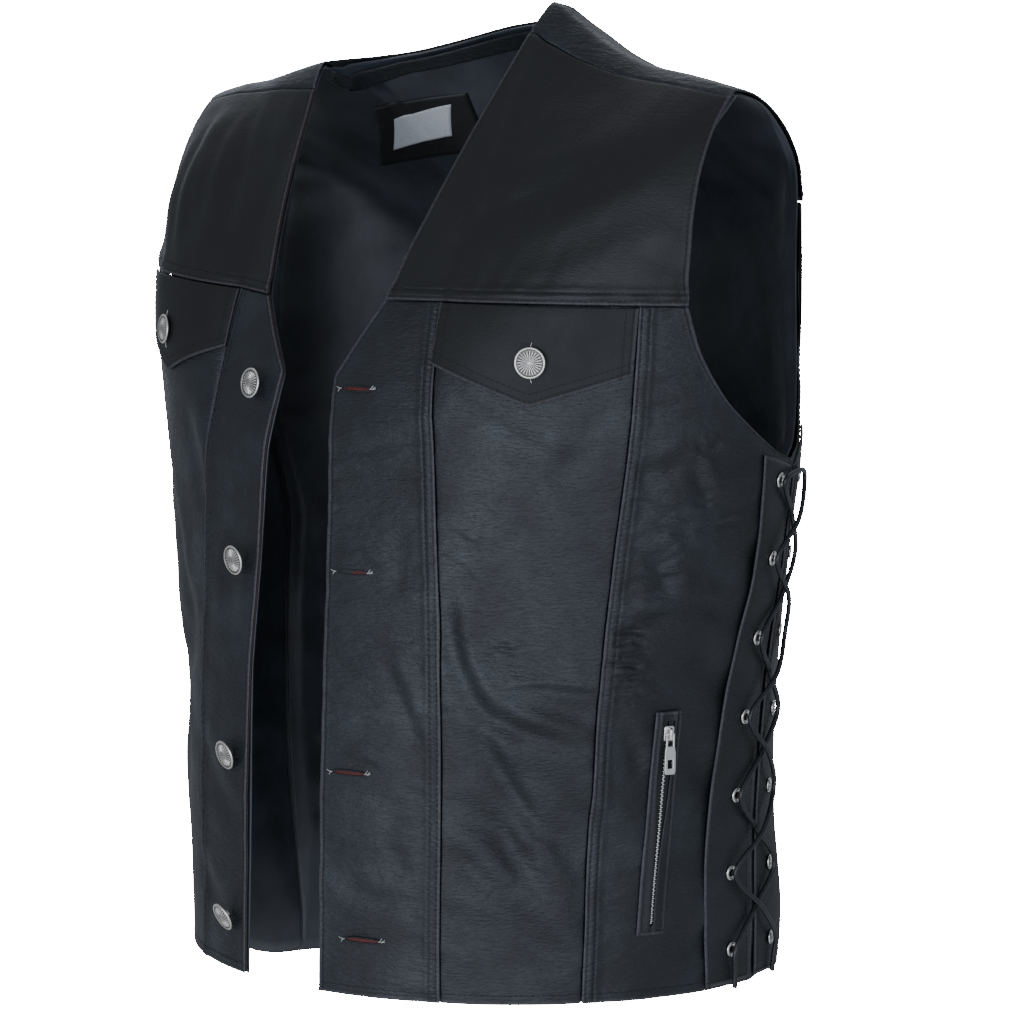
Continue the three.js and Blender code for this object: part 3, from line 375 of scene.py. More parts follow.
strips = {"width": 38, "fromSeam": 4, "rows": 7, "topZ": -296, "pitch": 52,
          "farTop": {"front": -279, "back": -264}, "nearTop": -288}


def seamTheta(z):
    return through(sideSeamRows[::-1][:, [2, 1]], 1, np.clip(z, -634, -284))


def mmPerTurn(theta, z):
    return np.linalg.norm(bare(theta + 0.5, z) - bare(theta - 0.5, z), axis=-1)


def fromSeam(distance, z):
    seam = seamTheta(z)
    return seam + distance / mmPerTurn(seam + np.sign(distance) * 6, z)


stripMiddle = strips["fromSeam"] + strips["width"] / 2
stripSigns = {"front": -1, "back": 1, "between": 0}


def eyeletPlace(which, row):
    z = strips["topZ"] - (row - 1) * strips["pitch"]
    return float(fromSeam(stripSigns[which] * stripMiddle, z) if which != "between" else seamTheta(z)), z


# Laces come first: a leather thong through both rows of eyelets, down one zigzag and up the other

lace = {"diameter": 3.6, "overRim": 6.6, "low": 5.2, "high": 9.8, "pieces": 9}
rim, low, high = lace["overRim"], lace["low"], lace["high"]
laceStops = [
    ("front", 7.5, 5.4), ("front", 7.3, 5.6), ("front", 7, rim), ("between", 6.5, low),
    ("back", 6, rim), ("between", 5.5, low), ("front", 5, rim), ("between", 4.5, low),
    ("back", 4, rim), ("between", 3.5, low), ("front", 3, rim), ("between", 2.5, low),
    ("back", 2, rim), ("between", 1.5, low), ("front", 1, rim), ("between", 0.9, rim),
    ("back", 1, rim), ("between", 1.5, high), ("front", 2, rim), ("between", 2.5, high),
    ("back", 3, rim), ("between", 3.5, high), ("front", 4, rim), ("between", 4.5, high),
    ("back", 5, rim), ("between", 5.5, high), ("front", 6, rim), ("between", 6.5, high),
    ("back", 7, rim), ("back", 7.25, 5.6), ("back", 7.45, 5.4)]


# Smooth curve through points, its knots spaced by the square root of the distances
def routeThrough(points, pieces):
    ends = np.vstack([2 * points[0] - points[1], points, 2 * points[-1] - points[-2]])
    gaps = np.sqrt(np.linalg.norm(np.diff(ends, axis=0), axis=1))
    knots = np.concatenate([[0], np.cumsum(gaps)])
    found = []
    share = np.linspace(0, 1, pieces, endpoint=False)[:, None]
    for i in range(1, len(ends) - 2):
        p, k = ends[i - 1:i + 3], knots[i - 1:i + 3]
        t = mix(k[1], k[2], share)
        a = [(k[j + 1] - t) / (k[j + 1] - k[j]) * p[j] + (t - k[j]) / (k[j + 1] - k[j]) * p[j + 1]
             for j in range(3)]
        b = [(k[j + 2] - t) / (k[j + 2] - k[j]) * a[j] + (t - k[j]) / (k[j + 2] - k[j]) * a[j + 1]
             for j in range(2)]
        found.append((k[2] - t) / (k[2] - k[1]) * b[0] + (t - k[1]) / (k[2] - k[1]) * b[1])
    return np.vstack(found + [points[-1:]])


def addObject(name, points, faceSets, material=None, maps=None, smooth=True):
    mesh = bpy.data.meshes.new(name)
    corners = np.concatenate([np.asarray(faces).ravel() for faces in faceSets])
    sizes = np.concatenate([np.full(len(faces), np.asarray(faces).shape[1]) for faces in faceSets])
    mesh.vertices.add(len(points))
    mesh.vertices.foreach_set("co", (np.asarray(points, float) * 0.001).ravel())
    mesh.loops.add(len(corners))
    mesh.loops.foreach_set("vertex_index", corners.astype(np.int32))
    mesh.polygons.add(len(sizes))
    mesh.polygons.foreach_set("loop_start", np.concatenate([[0], np.cumsum(sizes)[:-1]]).astype(np.int32))
    mesh.update(calc_edges=True)
    mesh.validate()
    mesh.polygons.foreach_set("use_smooth", np.full(len(mesh.polygons), smooth))
    for key, values in (maps or {}).items():
        if np.ndim(values) == 2:  # a UV map, one pair for each corner of each face
            mesh.uv_layers.new(name=key).data.foreach_set("uv", np.asarray(values, float)[corners].ravel())
        else:
            mesh.attributes.new(key, "FLOAT", "POINT").data.foreach_set("value", np.asarray(values, float))
    obj = bpy.data.objects.new(name, mesh)
    bpy.context.scene.collection.objects.link(obj)
    if material:
        mesh.materials.append(material)
    return obj


def quadsOf(rows, columns, wrap=False):
    index = np.arange(rows * columns).reshape(rows, columns)
    if wrap:
        index = np.hstack([index, index[:, :1]])
    return np.stack([index[:-1, :-1], index[1:, :-1], index[1:, 1:], index[:-1, 1:]], -1).reshape(-1, 4)


# A tube: a section of (side, rise) points carried along a route, closed at both ends. The
# section turns as little as it can from one point to the next.
def tubeAlong(route, section):
    forward = unit(np.gradient(route, axis=0))
    rise = np.empty_like(route)
    rise[0] = np.cross(forward[0], [0.3, 0.5, 0.81])
    for i in range(1, len(route)):
        rise[i] = rise[i - 1] - forward[i] * rise[i - 1].dot(forward[i])
        rise[i] = rise[i] / max(np.linalg.norm(rise[i]), 1e-9)
    rise = unit(rise - forward * (rise * forward).sum(-1, keepdims=True))
    side = np.cross(rise, forward)
    section = np.asarray(section, float)
    points = (route[:, None] + side[:, None] * section[None, :, :1]
              + rise[:, None] * section[None, :, 1:]).reshape(-1, 3)
    count = len(section)
    caps = [np.arange(count)[None, ::-1], ((len(route) - 1) * count + np.arange(count))[None]]
    return points, [quadsOf(len(route), count, wrap=True)] + caps


def circle(sides, radius):
    turn = np.radians(np.arange(0, 360, 360 // sides))
    return np.stack([np.cos(turn), np.sin(turn)], -1) * radius


def faceOutward(obj):
    made = bmesh.new()
    made.from_mesh(obj.data)
    bmesh.ops.recalc_face_normals(made, faces=made.faces)
    made.to_mesh(obj.data)
    made.free()
    return obj


# Colours and materials

def linear(code):
    values = [int(code[i:i + 2], 16) / 255 for i in (1, 3, 5)]
    return [value / 12.92 if value <= 0.04045 else ((value + 0.055) / 1.055) ** 2.4
            for value in values] + [1]


# Adds a node, sets its options and inputs, and links its inputs to other nodes' outputs
def addNode(tree, kind, options=None, inputs=None, links=None):
    node = tree.nodes.new(kind)
    for key, value in (options or {}).items():
        setattr(node, key, value)
    for key, value in (inputs or {}).items():
        node.inputs[key].default_value = value
    for key, output in (links or {}).items():
        tree.links.new(output, node.inputs[key])
    return node


def startMaterial(name):
    material = bpy.data.materials.new(name)
    material.use_nodes = True
    return material, material.node_tree, material.node_tree.nodes["Principled BSDF"]


def setSockets(shader, values):
    for key, value in values.items():
        shader.inputs[key].default_value = value


def colourRamp(tree, factor, stops):
    ramp = addNode(tree, "ShaderNodeValToRGB", links={"Fac": factor})
    first, last = ramp.color_ramp.elements
    first.position, first.color = stops[0][0], linear(stops[0][1])
    last.position, last.color = stops[-1][0], linear(stops[-1][1])
    for position, code in stops[1:-1]:
        ramp.color_ramp.elements.new(position).color = linear(code)
    return ramp.outputs["Color"]


# Drum-dyed cow nappa, lightly waxed: near black with a cool soft sheen, a pebble about 1 mm
# across, level grain lines 7 mm long and 1.6 mm apart, fine crumples where the skin was slack,
# cloudy patches 32 mm wide and a painted highlight of pale grey flecks along turned edges
leather = {"dark": "#090c0f", "mid": "#0f1418", "pale": "#1a2127", "worn": "#4a474c", "lines": 0.8,
           "pebble": 1.1, "grain": 6, "grainPitch": 1.5, "crumple": 12, "patch": 46,
           "roughness": (0.46, 0.6)}
# The yokes and flaps take darker, smoother copies of the leather: the darker colour is painted shade
shadedYokeLeather = dict(leather, dark="#040506", mid="#070809", pale="#0b0d0f", lines=0.22,
                   roughness=(0.52, 0.64))
shadedFlapLeather = dict(shadedYokeLeather, dark="#020303", mid="#040506", pale="#070809", roughness=(0.64, 0.74))
stripLeather = dict(leather, dark="#0a0d0f", mid="#101417", pale="#171c21", crumple=14, lines=0.35)


def blackNappa(name, look):
    material, tree, shader = startMaterial(name)
    place = addNode(tree, "ShaderNodeTexCoord").outputs["Object"]
    patches = addNode(tree, "ShaderNodeTexNoise", inputs={"Scale": 1000 / look["patch"], "Detail": 4,
                                                          "Roughness": 0.6},
                      links={"Vector": place})
    base = colourRamp(tree, patches.outputs["Fac"], [(0.32, look["dark"]), (0.5, look["mid"]),
                                                     (0.7, look["pale"])])
    # Pale grey flecks along turned edges, mixed in through the edge attribute: a painted highlight
    edge = addNode(tree, "ShaderNodeAttribute", {"attribute_name": "edge"}).outputs["Fac"]
    fine = addNode(tree, "ShaderNodeTexNoise", inputs={"Scale": 420, "Detail": 3}, links={"Vector": place})
    edgeHighlightMask = addNode(tree, "ShaderNodeMath", {"operation": "MULTIPLY"},
                     links={0: edge, 1: fine.outputs["Fac"]})
    colour = addNode(tree, "ShaderNodeMix", {"data_type": "RGBA"}, {7: linear(look["worn"])},
                     {0: edgeHighlightMask.outputs[0], 6: base})
    tree.links.new(colour.outputs[2], shader.inputs["Base Color"])
    pebble = addNode(tree, "ShaderNodeTexVoronoi", {"feature": "SMOOTH_F1"},
                     {"Scale": 1000 / look["pebble"], "Smoothness": 0.35}, {"Vector": place})
    grainBump = addNode(tree, "ShaderNodeBump", inputs={"Strength": 0.55, "Distance": 0.0002},
                        links={"Height": pebble.outputs["Distance"]})
    level = addNode(tree, "ShaderNodeMapping", inputs={"Scale": (1, 1, look["grain"] / look["grainPitch"])},
                    links={"Vector": place})
    lines = addNode(tree, "ShaderNodeTexNoise", inputs={"Scale": 1000 / look["grain"], "Detail": 2,
                                                        "Distortion": 0.6},
                    links={"Vector": level.outputs[0]})
    linesBump = addNode(tree, "ShaderNodeBump", inputs={"Strength": look["lines"], "Distance": 0.0009},
                        links={"Height": lines.outputs["Fac"], "Normal": grainBump.outputs[0]})
    crumpled = addNode(tree, "ShaderNodeAttribute", {"attribute_name": "crumple"}).outputs["Fac"]
    ridges = addNode(tree, "ShaderNodeTexNoise", {"noise_type": "RIDGED_MULTIFRACTAL"},
                     {"Scale": 1000 / look["crumple"], "Detail": 5, "Roughness": 0.55, "Distortion": 0.4},
                     {"Vector": addNode(tree, "ShaderNodeMapping", inputs={"Scale": (1, 1, 1.9)},
                                        links={"Vector": place}).outputs[0]})
    deep = addNode(tree, "ShaderNodeMath", {"operation": "MULTIPLY"},
                   links={0: ridges.outputs["Fac"], 1: crumpled})
    ridgesBump = addNode(tree, "ShaderNodeBump", inputs={"Strength": 0.8, "Distance": 0.0014},
                         links={"Height": deep.outputs[0], "Normal": linesBump.outputs[0]})
    tree.links.new(ridgesBump.outputs[0], shader.inputs["Normal"])
    gloss = addNode(tree, "ShaderNodeMapRange", inputs={
        "From Min": 0.3, "From Max": 0.7, "To Min": look["roughness"][1], "To Max": look["roughness"][0]},
        links={"Value": patches.outputs["Fac"]})
    tree.links.new(gloss.outputs[0], shader.inputs["Roughness"])
    setSockets(shader, {"IOR": 1.48, "Coat Weight": 0.06, "Coat Roughness": 0.4})
    return material


# Polyester satin, woven with long floats: blacker than the leather, with a silky sheen and
# faint threads down its length
def blackSatin():
    material, tree, shader = startMaterial("blackSatin")
    place = addNode(tree, "ShaderNodeTexCoord").outputs["Object"]
    stretched = addNode(tree, "ShaderNodeMapping", inputs={"Scale": (1, 1, 0.05)}, links={"Vector": place})
    threads = addNode(tree, "ShaderNodeTexNoise", inputs={"Scale": 1400, "Detail": 1},
                      links={"Vector": stretched.outputs[0]})
    patches = addNode(tree, "ShaderNodeTexNoise", inputs={"Scale": 30, "Detail": 2},
                      links={"Vector": place})
    tree.links.new(colourRamp(tree, patches.outputs["Fac"], [(0.35, "#23272c"), (0.7, "#31363d")]),
                   shader.inputs["Base Color"])
    bump = addNode(tree, "ShaderNodeBump", inputs={"Strength": 0.15, "Distance": 0.0001},
                   links={"Height": threads.outputs["Fac"]})
    tree.links.new(bump.outputs[0], shader.inputs["Normal"])
    gloss = addNode(tree, "ShaderNodeMapRange", inputs={"To Min": 0.34, "To Max": 0.46},
                    links={"Value": threads.outputs["Fac"]})
    tree.links.new(gloss.outputs[0], shader.inputs["Roughness"])
    setSockets(shader, {"Sheen Weight": 0.15, "Sheen Roughness": 0.3, "Anisotropic": 0.4})
    return material


# Die-cast zinc with an antique silver plating: bright where rubbed, darkened in its recesses
def antiqueSilver(name="antiqueSilver", dark="#6d6963", bright="#e8e5df", roughness=(0.36, 0.5)):
    material, tree, shader = startMaterial(name)
    place = addNode(tree, "ShaderNodeTexCoord").outputs["Object"]
    recess = addNode(tree, "ShaderNodeAttribute", {"attribute_name": "recess"}).outputs["Fac"]
    mottle = addNode(tree, "ShaderNodeTexNoise", inputs={"Scale": 700, "Detail": 3},
                     links={"Vector": place})
    spread = addNode(tree, "ShaderNodeMath", {"operation": "MULTIPLY_ADD"}, {1: 0.35},
                     {0: mottle.outputs["Fac"], 2: recess})
    tree.links.new(colourRamp(tree, spread.outputs[0],
                              [(0.18, bright), (0.5, "#bdb9b1"), (1.1 / 1.2, dark)]),
                              shader.inputs["Base Color"])
    gloss = addNode(tree, "ShaderNodeMapRange", inputs={"To Min": roughness[0], "To Max": roughness[1]},
                    links={"Value": mottle.outputs["Fac"]})
    tree.links.new(gloss.outputs[0], shader.inputs["Roughness"])
    bump = addNode(tree, "ShaderNodeBump", inputs={"Strength": 0.2, "Distance": 0.00005},
                   links={"Height": mottle.outputs["Fac"]})
    tree.links.new(bump.outputs[0], shader.inputs["Normal"])
    setSockets(shader, {"Metallic": 1})
    return material


# Spun polyester thread, or cut leather thong: matt, twisted or grained at a given size in mm
def matt(name, dark, pale, grain, roughness=0.6, bumpDistance=0.0001):
    material, tree, shader = startMaterial(name)
    place = addNode(tree, "ShaderNodeTexCoord").outputs["Object"]
    fibres = addNode(tree, "ShaderNodeTexNoise", inputs={"Scale": 1000 / grain, "Detail": 3},
                     links={"Vector": place})
    tree.links.new(colourRamp(tree, fibres.outputs["Fac"], [(0.35, dark), (0.7, pale)]),
                   shader.inputs["Base Color"])
    bump = addNode(tree, "ShaderNodeBump", inputs={"Strength": 0.5, "Distance": bumpDistance},
                   links={"Height": fibres.outputs["Fac"]})
    tree.links.new(bump.outputs[0], shader.inputs["Normal"])
    setSockets(shader, {"Roughness": roughness})
    return material


finishes = {
    "leather": blackNappa("blackNappa", leather),
    "shadedYokeLeather": blackNappa("blackNappaYokesShaded", shadedYokeLeather),
    "shadedFlapLeather": blackNappa("blackNappaFlapsShaded", shadedFlapLeather),
    "stripLeather": blackNappa("blackNappaStrips", stripLeather),
    "satin": blackSatin(),
    "button": antiqueSilver(),
    "nickel": antiqueSilver("nickelPlatedBrass", "#8b8884", "#f4f2ee", (0.26, 0.4)),
    "thong": matt("blackLeatherThong", "#0b0d0f", "#1b1f24", 1.6, 0.42, 0.0002),
    "thread": matt("blackPolyesterThread", "#08090a", "#15171a", 0.5),
    "paleThread": matt("paleCottonThread", "#8d8d88", "#d8d8d2", 0.4, 0.8),
    "oxblood": matt("oxbloodSplitLeather", "#3a0d0c", "#5c1714", 1.2, 0.7),
    "cutEdge": matt("oxbloodCutEdge", "#1c0a0a", "#2f1110", 1.2, 0.7),
    "tape": matt("blackWovenZipTape", "#0a0b0c", "#181a1d", 0.7, 0.75),
    "label": matt("blackWovenLabel", "#060708", "#101215", 0.6, 0.55),
    "patch": matt("paleSatinLabelPatch", "#b9bdc0", "#d9dcde", 0.8, 0.5),
}
print("materials made")


def laceRoute(sign):
    stops = []
    for which, row, lift in laceStops:
        theta, z = eyeletPlace(which, row)
        stops.append(onForm(sign * theta, z, lift))
    return routeThrough(np.array(stops), lace["pieces"])


for side, sign in (("left", 1), ("right", -1)):
    route = laceRoute(sign)
    turn = np.radians(np.arange(0, 360, 36))
    section = np.stack([np.cos(turn), np.sin(turn) * 0.9], -1) * lace["diameter"] / 2
    cord = addObject(f"lace_thong_{side}", *tubeAlong(route, section), finishes["thong"])
    faceOutward(cord)
    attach(cord, "vest")
    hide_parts(f"lace_{side}")

# Shells: closed sheets of leather or satin over one or more grids


# Distances in mm from the four sides of a grid of points, along its rows and columns
def sideDistances(points):
    across = np.linalg.norm(np.diff(points, axis=1), axis=2)
    down = np.linalg.norm(np.diff(points, axis=0), axis=2)
    near = np.hstack([np.zeros((len(points), 1)), np.cumsum(across, 1)])
    top = np.vstack([np.zeros((1, points.shape[1])), np.cumsum(down, 0)])
    return {"near": near, "far": near[:, -1:] - near, "top": top, "bottom": top[-1:] - top}


# A bell round a distance: exp of minus the square of how far off it is, in widths
def bell(distance, at, width):
    return np.exp(-(((distance - at) / width) ** 2))


# How leather stands at its edges. Lapped: turned under and doubled, so it stands 0.8 mm higher
# over 9 mm, with a groove at each stitch row and a bulge between. Free: turned in, one row.
# Under: it dips to the piece that laps it. Seam: both sides dip.
def edgeRelief(kind, d, along, shift):
    if kind == "lapped":
        ripple = np.sin(along * 2 * np.pi / 3.6 + d * 0.9) * (0.8
                + 0.6 * softNoise(along, d, 14, 60, shift))
        pull = softNoise(along, d, 7.5, 26, shift + 1) + 0.5 * softNoise(along, d, 4.2, 14, shift + 2)
        return (0.8 * (1 - ease((d - 8) / 5)) - 0.45 * bell(d, 2.5, 0.8) - 0.45 * bell(d, 7.5, 0.8)
                + 0.25 * bell(d, 5, 1.4) + 0.4 * ripple * bell(d, 5, 2.6)
                + 0.85 * pull * np.exp(-d / 13) * ease((d - 7) / 3) + 0.2 * pull * ease(d / 3))
    if kind == "free":
        pull = softNoise(along, d, 8, 22, shift + 3)
        return (0.35 * (1 - ease((d - 3) / 3)) - 0.35 * bell(d, 2.8, 0.7) + 0.15 * bell(d, 1.4, 0.8)
                + 0.2 * pull * np.exp(-d / 9) * ease(d / 2.5))
    if kind == "under":
        pull = softNoise(along, d, 8, 24, shift + 4)
        return -0.5 * np.exp(-d / 2.2) + 0.45 * pull * np.exp(-d / 10)
    if kind == "seam":
        return -0.7 * np.exp(-((d / 1.3) ** 2))
    return 0 * d


# Sample distances that are close together near a side, as shares of a length in mm
def shares(length, step, near="", far=""):
    close = {
        "lapped": [0, 0.35, 0.9, 1.8, 2.5, 3.2, 4.1, 5, 5.9, 6.8, 7.5, 8.2, 9.2, 10.6, 12.4],
        "free": [0, 0.35, 0.9, 1.6, 2.2, 2.8, 3.4, 4.4, 6],
        "under": [0, 0.4, 1.1, 2.2, 4], "seam": [0, 0.35, 0.8, 1.4, 2.4, 4], "": [0, 0.4],
    }
    start, end = close[near], close[far]
    steps = max(int(round((length - start[-1] - end[-1]) / step)), 1)
    middle = np.linspace(start[-1], length - end[-1], steps + 1)
    return np.concatenate([start[:-1], middle, length - np.array(end[:-1])[::-1]]) / length


# Joins outer and inner walls; points of the grids are merged where their plain places agree
def closeShell(grids):
    plain = np.concatenate([g["plain"].reshape(-1, 3) for g in grids])
    _, first, index = np.unique(np.round(plain * 100).astype(np.int64), axis=0, return_index=True,
                                return_inverse=True)
    index = index.ravel()
    quads, start = [], 0
    for g in grids:
        rows, columns = g["plain"].shape[:2]
        found = quadsOf(rows, columns) + start
        keep = g.get("keep")
        quads.append(found if keep is None else found[keep.ravel()])
        start += rows * columns
    quads = index[np.concatenate(quads)]
    used, quads = np.unique(quads, return_inverse=True)
    quads = quads.reshape(-1, 4)
    count = len(used)
    pick = first[used]
    starts = quads
    ends = np.roll(quads, -1, axis=1)
    key = starts.astype(np.int64) * count + ends
    back = ends.astype(np.int64) * count + starts
    free = ~np.isin(key, back)
    a, b = starts[free], ends[free]
    rims = np.stack([b, a, a + count, b + count], -1)
    inner = quads[:, ::-1] + count
    return pick, [quads, inner, rims]


def closedSheet(grid):
    pick, faces = closeShell([grid])
    return np.vstack([grid[wall].reshape(-1, 3)[pick] for wall in ("outer", "inner")]), faces


pieces = {}


def endsOf(line):
    return [[float(v) for v in line(at)] for at in (0.0, 1.0)]


def leatherShell(name, node, material, grids, mirrored=False):
    outer = np.concatenate([g["outer"].reshape(-1, 3) for g in grids])
    inner = np.concatenate([g["inner"].reshape(-1, 3) for g in grids])
    edge = np.concatenate([g["edge"].ravel() for g in grids])
    pick, faces = closeShell(grids)
    if mirrored:
        faces = [f[:, ::-1] for f in faces]
    points = np.vstack([outer[pick], inner[pick]])
    crumple = np.concatenate([g.get("crumple", g["edge"] * 0).ravel() for g in grids])[pick]
    obj = addObject(name, points, faces, material, {"edge": np.concatenate([edge[pick], edge[pick] * 0]),
                                                    "crumple": np.concatenate([crumple, crumple])})
    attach(obj, "vest")
    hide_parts(node)
    cut = [sideDistances(g["plain"]) for g in grids]
    width = max(float(np.max(c["near"][:, -1])) for c in cut) / 1000
    length = sum(float(np.max(c["top"][-1])) for c in cut[:1]) / 1000
    area = 0
    for g in grids:
        p = g["plain"]
        u, v = p[:-1, 1:] - p[:-1, :-1], p[1:, :-1] - p[:-1, :-1]
        cells = np.linalg.norm(np.cross(u, v), axis=-1) * g.get("keep", True)
        area += float(cells.sum()) / 1e6
    if len(grids) > 1:
        length = max(length, area / width)
    area = min(area, width * length)
    print(f"{name}: {width:.3f} x {length:.3f} m, {area:.4f} m2, {sum(len(f) for f in faces) * 2} triangles")
    pieces[name] = {"grids": grids, "mirrored": mirrored, "object": obj}
    return obj


# Creases, listed one by one. Each is a trough along a line of (theta, z) points with a ridge on its upper
# side: depth times 0.7 exp(-(q - 1.7)2) - exp(-q2) at q widths from the line, and it fades to
# nothing at both ends. Rows hold width and depth in mm, then the line.
creases = [
    # Wearer's left chest panel, top to bottom
    (7, 3.4, (28.4, -362), (29.6, -395), (31.7, -415), (34.7, -435), (37.7, -446), (42.5, -453),
     (48.5, -460), (56, -468)),
    (7, 2.8, (35, -452), (37.7, -468), (39.8, -480), (42.6, -495), (45, -508), (49, -528)),
    (11, 2.6, (39.5, -490), (42, -531), (45.5, -563), (50, -604)),
    (9, 2.4, (31, -497), (35.3, -508), (40.6, -522), (45, -540), (51, -572)),
    (12, 2.2, (30, -576), (38, -582), (45, -590), (54, -612)),
    (8, 1.8, (31, -532), (36, -545), (42, -566), (47, -584)),
    (3, 1.0, (40, -429), (47.3, -427), (57, -431)), (10, 1.6, (39, -440), (47, -438), (57, -446)),
    (1.7, 0.9, (36, -404), (38.6, -402), (42, -404)), (1.6, 0.7, (30.5, -394), (34, -398)),
    (1.5, 0.6, (43.4, -350), (47, -357)), (1.4, 0.5, (42.6, -353), (45.6, -357)),
    (1.6, 0.5, (32, -307), (36, -320)), (2.2, 0.7, (28, -327), (30.7, -333), (33, -337)),
    (2.4, 0.6, (28, -345), (31, -352), (33, -362)), (9, 1.4, (27, -246), (35.3, -264), (47, -290)),
    (10, 1.5, (52, -256), (49, -275), (45, -300)), (9, 1.2, (51, -498), (58.7, -519), (67, -540)),
    # Wearer's left side panel
    (6, 2.6, (58, -384), (62, -388), (68.7, -383), (77, -378), (84, -380)),
    (7, 1.8, (59, -289), (63.9, -288), (70, -281)),
    (6, 1.8, (70, -279), (72.8, -296), (75.8, -311)), (1.8, 0.9, (72, -308), (74.3, -309.5), (77, -308)),
    (2.6, 1.1, (64, -324), (71.9, -327), (80, -323), (86, -321)),
    (2, 0.8, (61.5, -355), (65.6, -356.5), (69.6, -356)),
    (3, 1.4, (71, -270), (73.4, -276), (77, -270)), (1.8, 0.7, (66.7, -353), (69.8, -349), (73, -341)),
    (1.8, 0.7, (66, -348), (69, -344), (72, -336)), (1.8, 0.6, (67.5, -357), (71, -352), (74, -345)),
    (3, 0.8, (58.7, -306), (64.9, -312), (74, -319)), (9, 1.6, (63, -340), (67, -350), (68, -372)),
    (2.4, 1.2, (58.4, -391), (62, -390), (66, -392)), (2.2, 1.2, (58.5, -398), (62, -396), (65.5, -399)),
    (2.4, 1.3, (58.7, -405), (62, -405), (66.5, -403)), (2.2, 1.1, (59, -412), (62, -411), (65, -414)),
    (2.6, 1.3, (59, -419), (63, -420), (67, -417)), (2.4, 1.1, (59.3, -426), (63, -427), (66, -430)),
    (2.6, 1.1, (59.6, -434), (63, -435), (68, -433)), (6, 1.3, (62, -452), (65, -468), (66, -486)),
    (12, 2.0, (77, -470), (81, -490), (88, -520)), (12, 1.8, (76, -400), (84, -430), (92, -446)),
    (10, 1.6, (72, -600), (80, -598), (92, -606)), (12, 1.8, (86, -330), (92, -352), (99, -368)),
    # Wearer's left placket
    (5, 1.6, (18.2, -412), (21.3, -431), (23.5, -450), (25.5, -470)),
    (1.6, 0.5, (12, -405), (17, -403), (24, -406)),
    (1.8, 0.5, (11.5, -437), (15, -435), (21, -431)), (4, 0.8, (6, -276), (10.6, -281), (19, -275)),
    (4, 0.7, (6, -298), (13.5, -292), (22, -297)), (7, 1.0, (12, -557), (17.5, -568), (27, -570)),
    (6, 0.9, (19, -330), (20, -350), (19.5, -372)), (7, 0.9, (22, -500), (21, -530), (24, -556)),
    (3, 0.9, (10, -353), (13.5, -351), (17.5, -355)), (3, 0.8, (12, -482), (15.5, -480), (19, -484)),
    # Wearer's left yoke
    (12, 1.5, (22, -138), (39.7, -113), (53.5, -87)), (12, 1.2, (36, -165), (50, -140), (64, -118)),
    (10, 1.2, (26, -92), (28, -120), (26, -150)), (9, 1.0, (58, -150), (66, -160), (72, -172)),
    # Wearer's right front: long soft folds that run down from the shoulder
    (7, 1.6, (-38, -60), (-34, -100), (-29, -160)), (7, 1.5, (-44, -64), (-41, -110), (-37, -160)),
    (7, 1.5, (-53, -66), (-50, -110), (-46, -158)), (9, 1.8, (-62, -80), (-60, -120), (-58, -156)),
    (6, 1.0, (-47, -90), (-43, -130), (-40, -160)), (9, 1.8, (-33, -262), (-30, -292), (-27, -330)),
    (12, 2.0, (-54, -300), (-44, -350), (-36, -420)), (12, 2.2, (-60, -400), (-48, -452), (-40, -520)),
    (10, 1.8, (-31, -480), (-22, -510), (-14, -534)), (10, 1.6, (-34, -560), (-26, -584), (-18, -604)),
    (12, 2.0, (-82, -340), (-72, -372), (-62, -384)), (12, 2.0, (-84, -450), (-74, -478), (-64, -500)),
    (8, 1.0, (-14, -330), (-18, -372), (-16, -410)), (9, 1.4, (-58, -560), (-68, -582), (-80, -590)),
    # Back
    (16, 2.0, (118, -214), (135, -240), (152, -252)), (18, 2.4, (130, -300), (150, -322), (176, -330)),
    (16, 2.6, (126, -470), (142, -452), (160, -410)), (17, 2.2, (146, -540), (168, -520), (192, -512)),
    (18, 2.4, (184, -302), (206, -322), (228, -350)), (16, 2.2, (212, -232), (228, -256), (244, -292)),
    (16, 2.4, (196, -500), (214, -532), (234, -545)), (15, 2.2, (226, -420), (240, -446), (252, -482)),
    (20, 2.0, (156, -396), (186, -402), (214, -396)), (15, 2.0, (152, -590), (158, -616), (160, -650)),
    (15, 2.0, (218, -580), (222, -612), (230, -640)), (15, 1.5, (124, -90), (136, -106), (146, -128)),
    (15, 1.5, (236, -90), (225, -106), (214, -128)), (16, 1.2, (158, -108), (180, -114), (204, -108)),
]


# Height of all the creases at a place: the nearest point on each piece of a line gives the
# distance across it and the share of the way along it
def creaseHeight(theta, z):
    theta, z = np.broadcast_arrays(np.asarray(theta, float), np.asarray(z, float))
    total = np.zeros(theta.shape)
    for width, depth, *line in creases:
        spots = np.array(line, float)
        middle = spots[:, 0].mean()
        flat = (spots - [middle, 0]) * [mmPerDegree, 1]
        x = ((theta - middle + 540) % 360 - 180) * mmPerDegree
        near = np.full(theta.shape, 1e9)
        across, along = np.zeros(theta.shape), np.zeros(theta.shape)
        lengths = np.linalg.norm(np.diff(flat, axis=0), axis=1)
        done = np.concatenate([[0], np.cumsum(lengths)])
        for i in range(len(lengths)):
            way = (flat[i + 1] - flat[i]) / lengths[i]
            dx, dz = x - flat[i, 0], z - flat[i, 1]
            t = np.clip(dx * way[0] + dz * way[1], 0, lengths[i])
            offX, offZ = dx - t * way[0], dz - t * way[1]
            gap = np.hypot(offX, offZ)
            closer = gap < near
            near = np.where(closer, gap, near)
            upper = np.sign(way[0] * offZ - way[1] * offX) * (1 if way[0] > -0.05 else -1)
            across = np.where(closer, upper * gap, across)
            along = np.where(closer, (t + done[i]) / done[-1], along)
        q = across / width
        fade = np.clip(1 - (2 * along - 1) ** 4, 0, 1)
        total = total + depth * fade * (0.7 * np.exp(-((q - 1.7) ** 2)) - np.exp(-q * q))
    return total


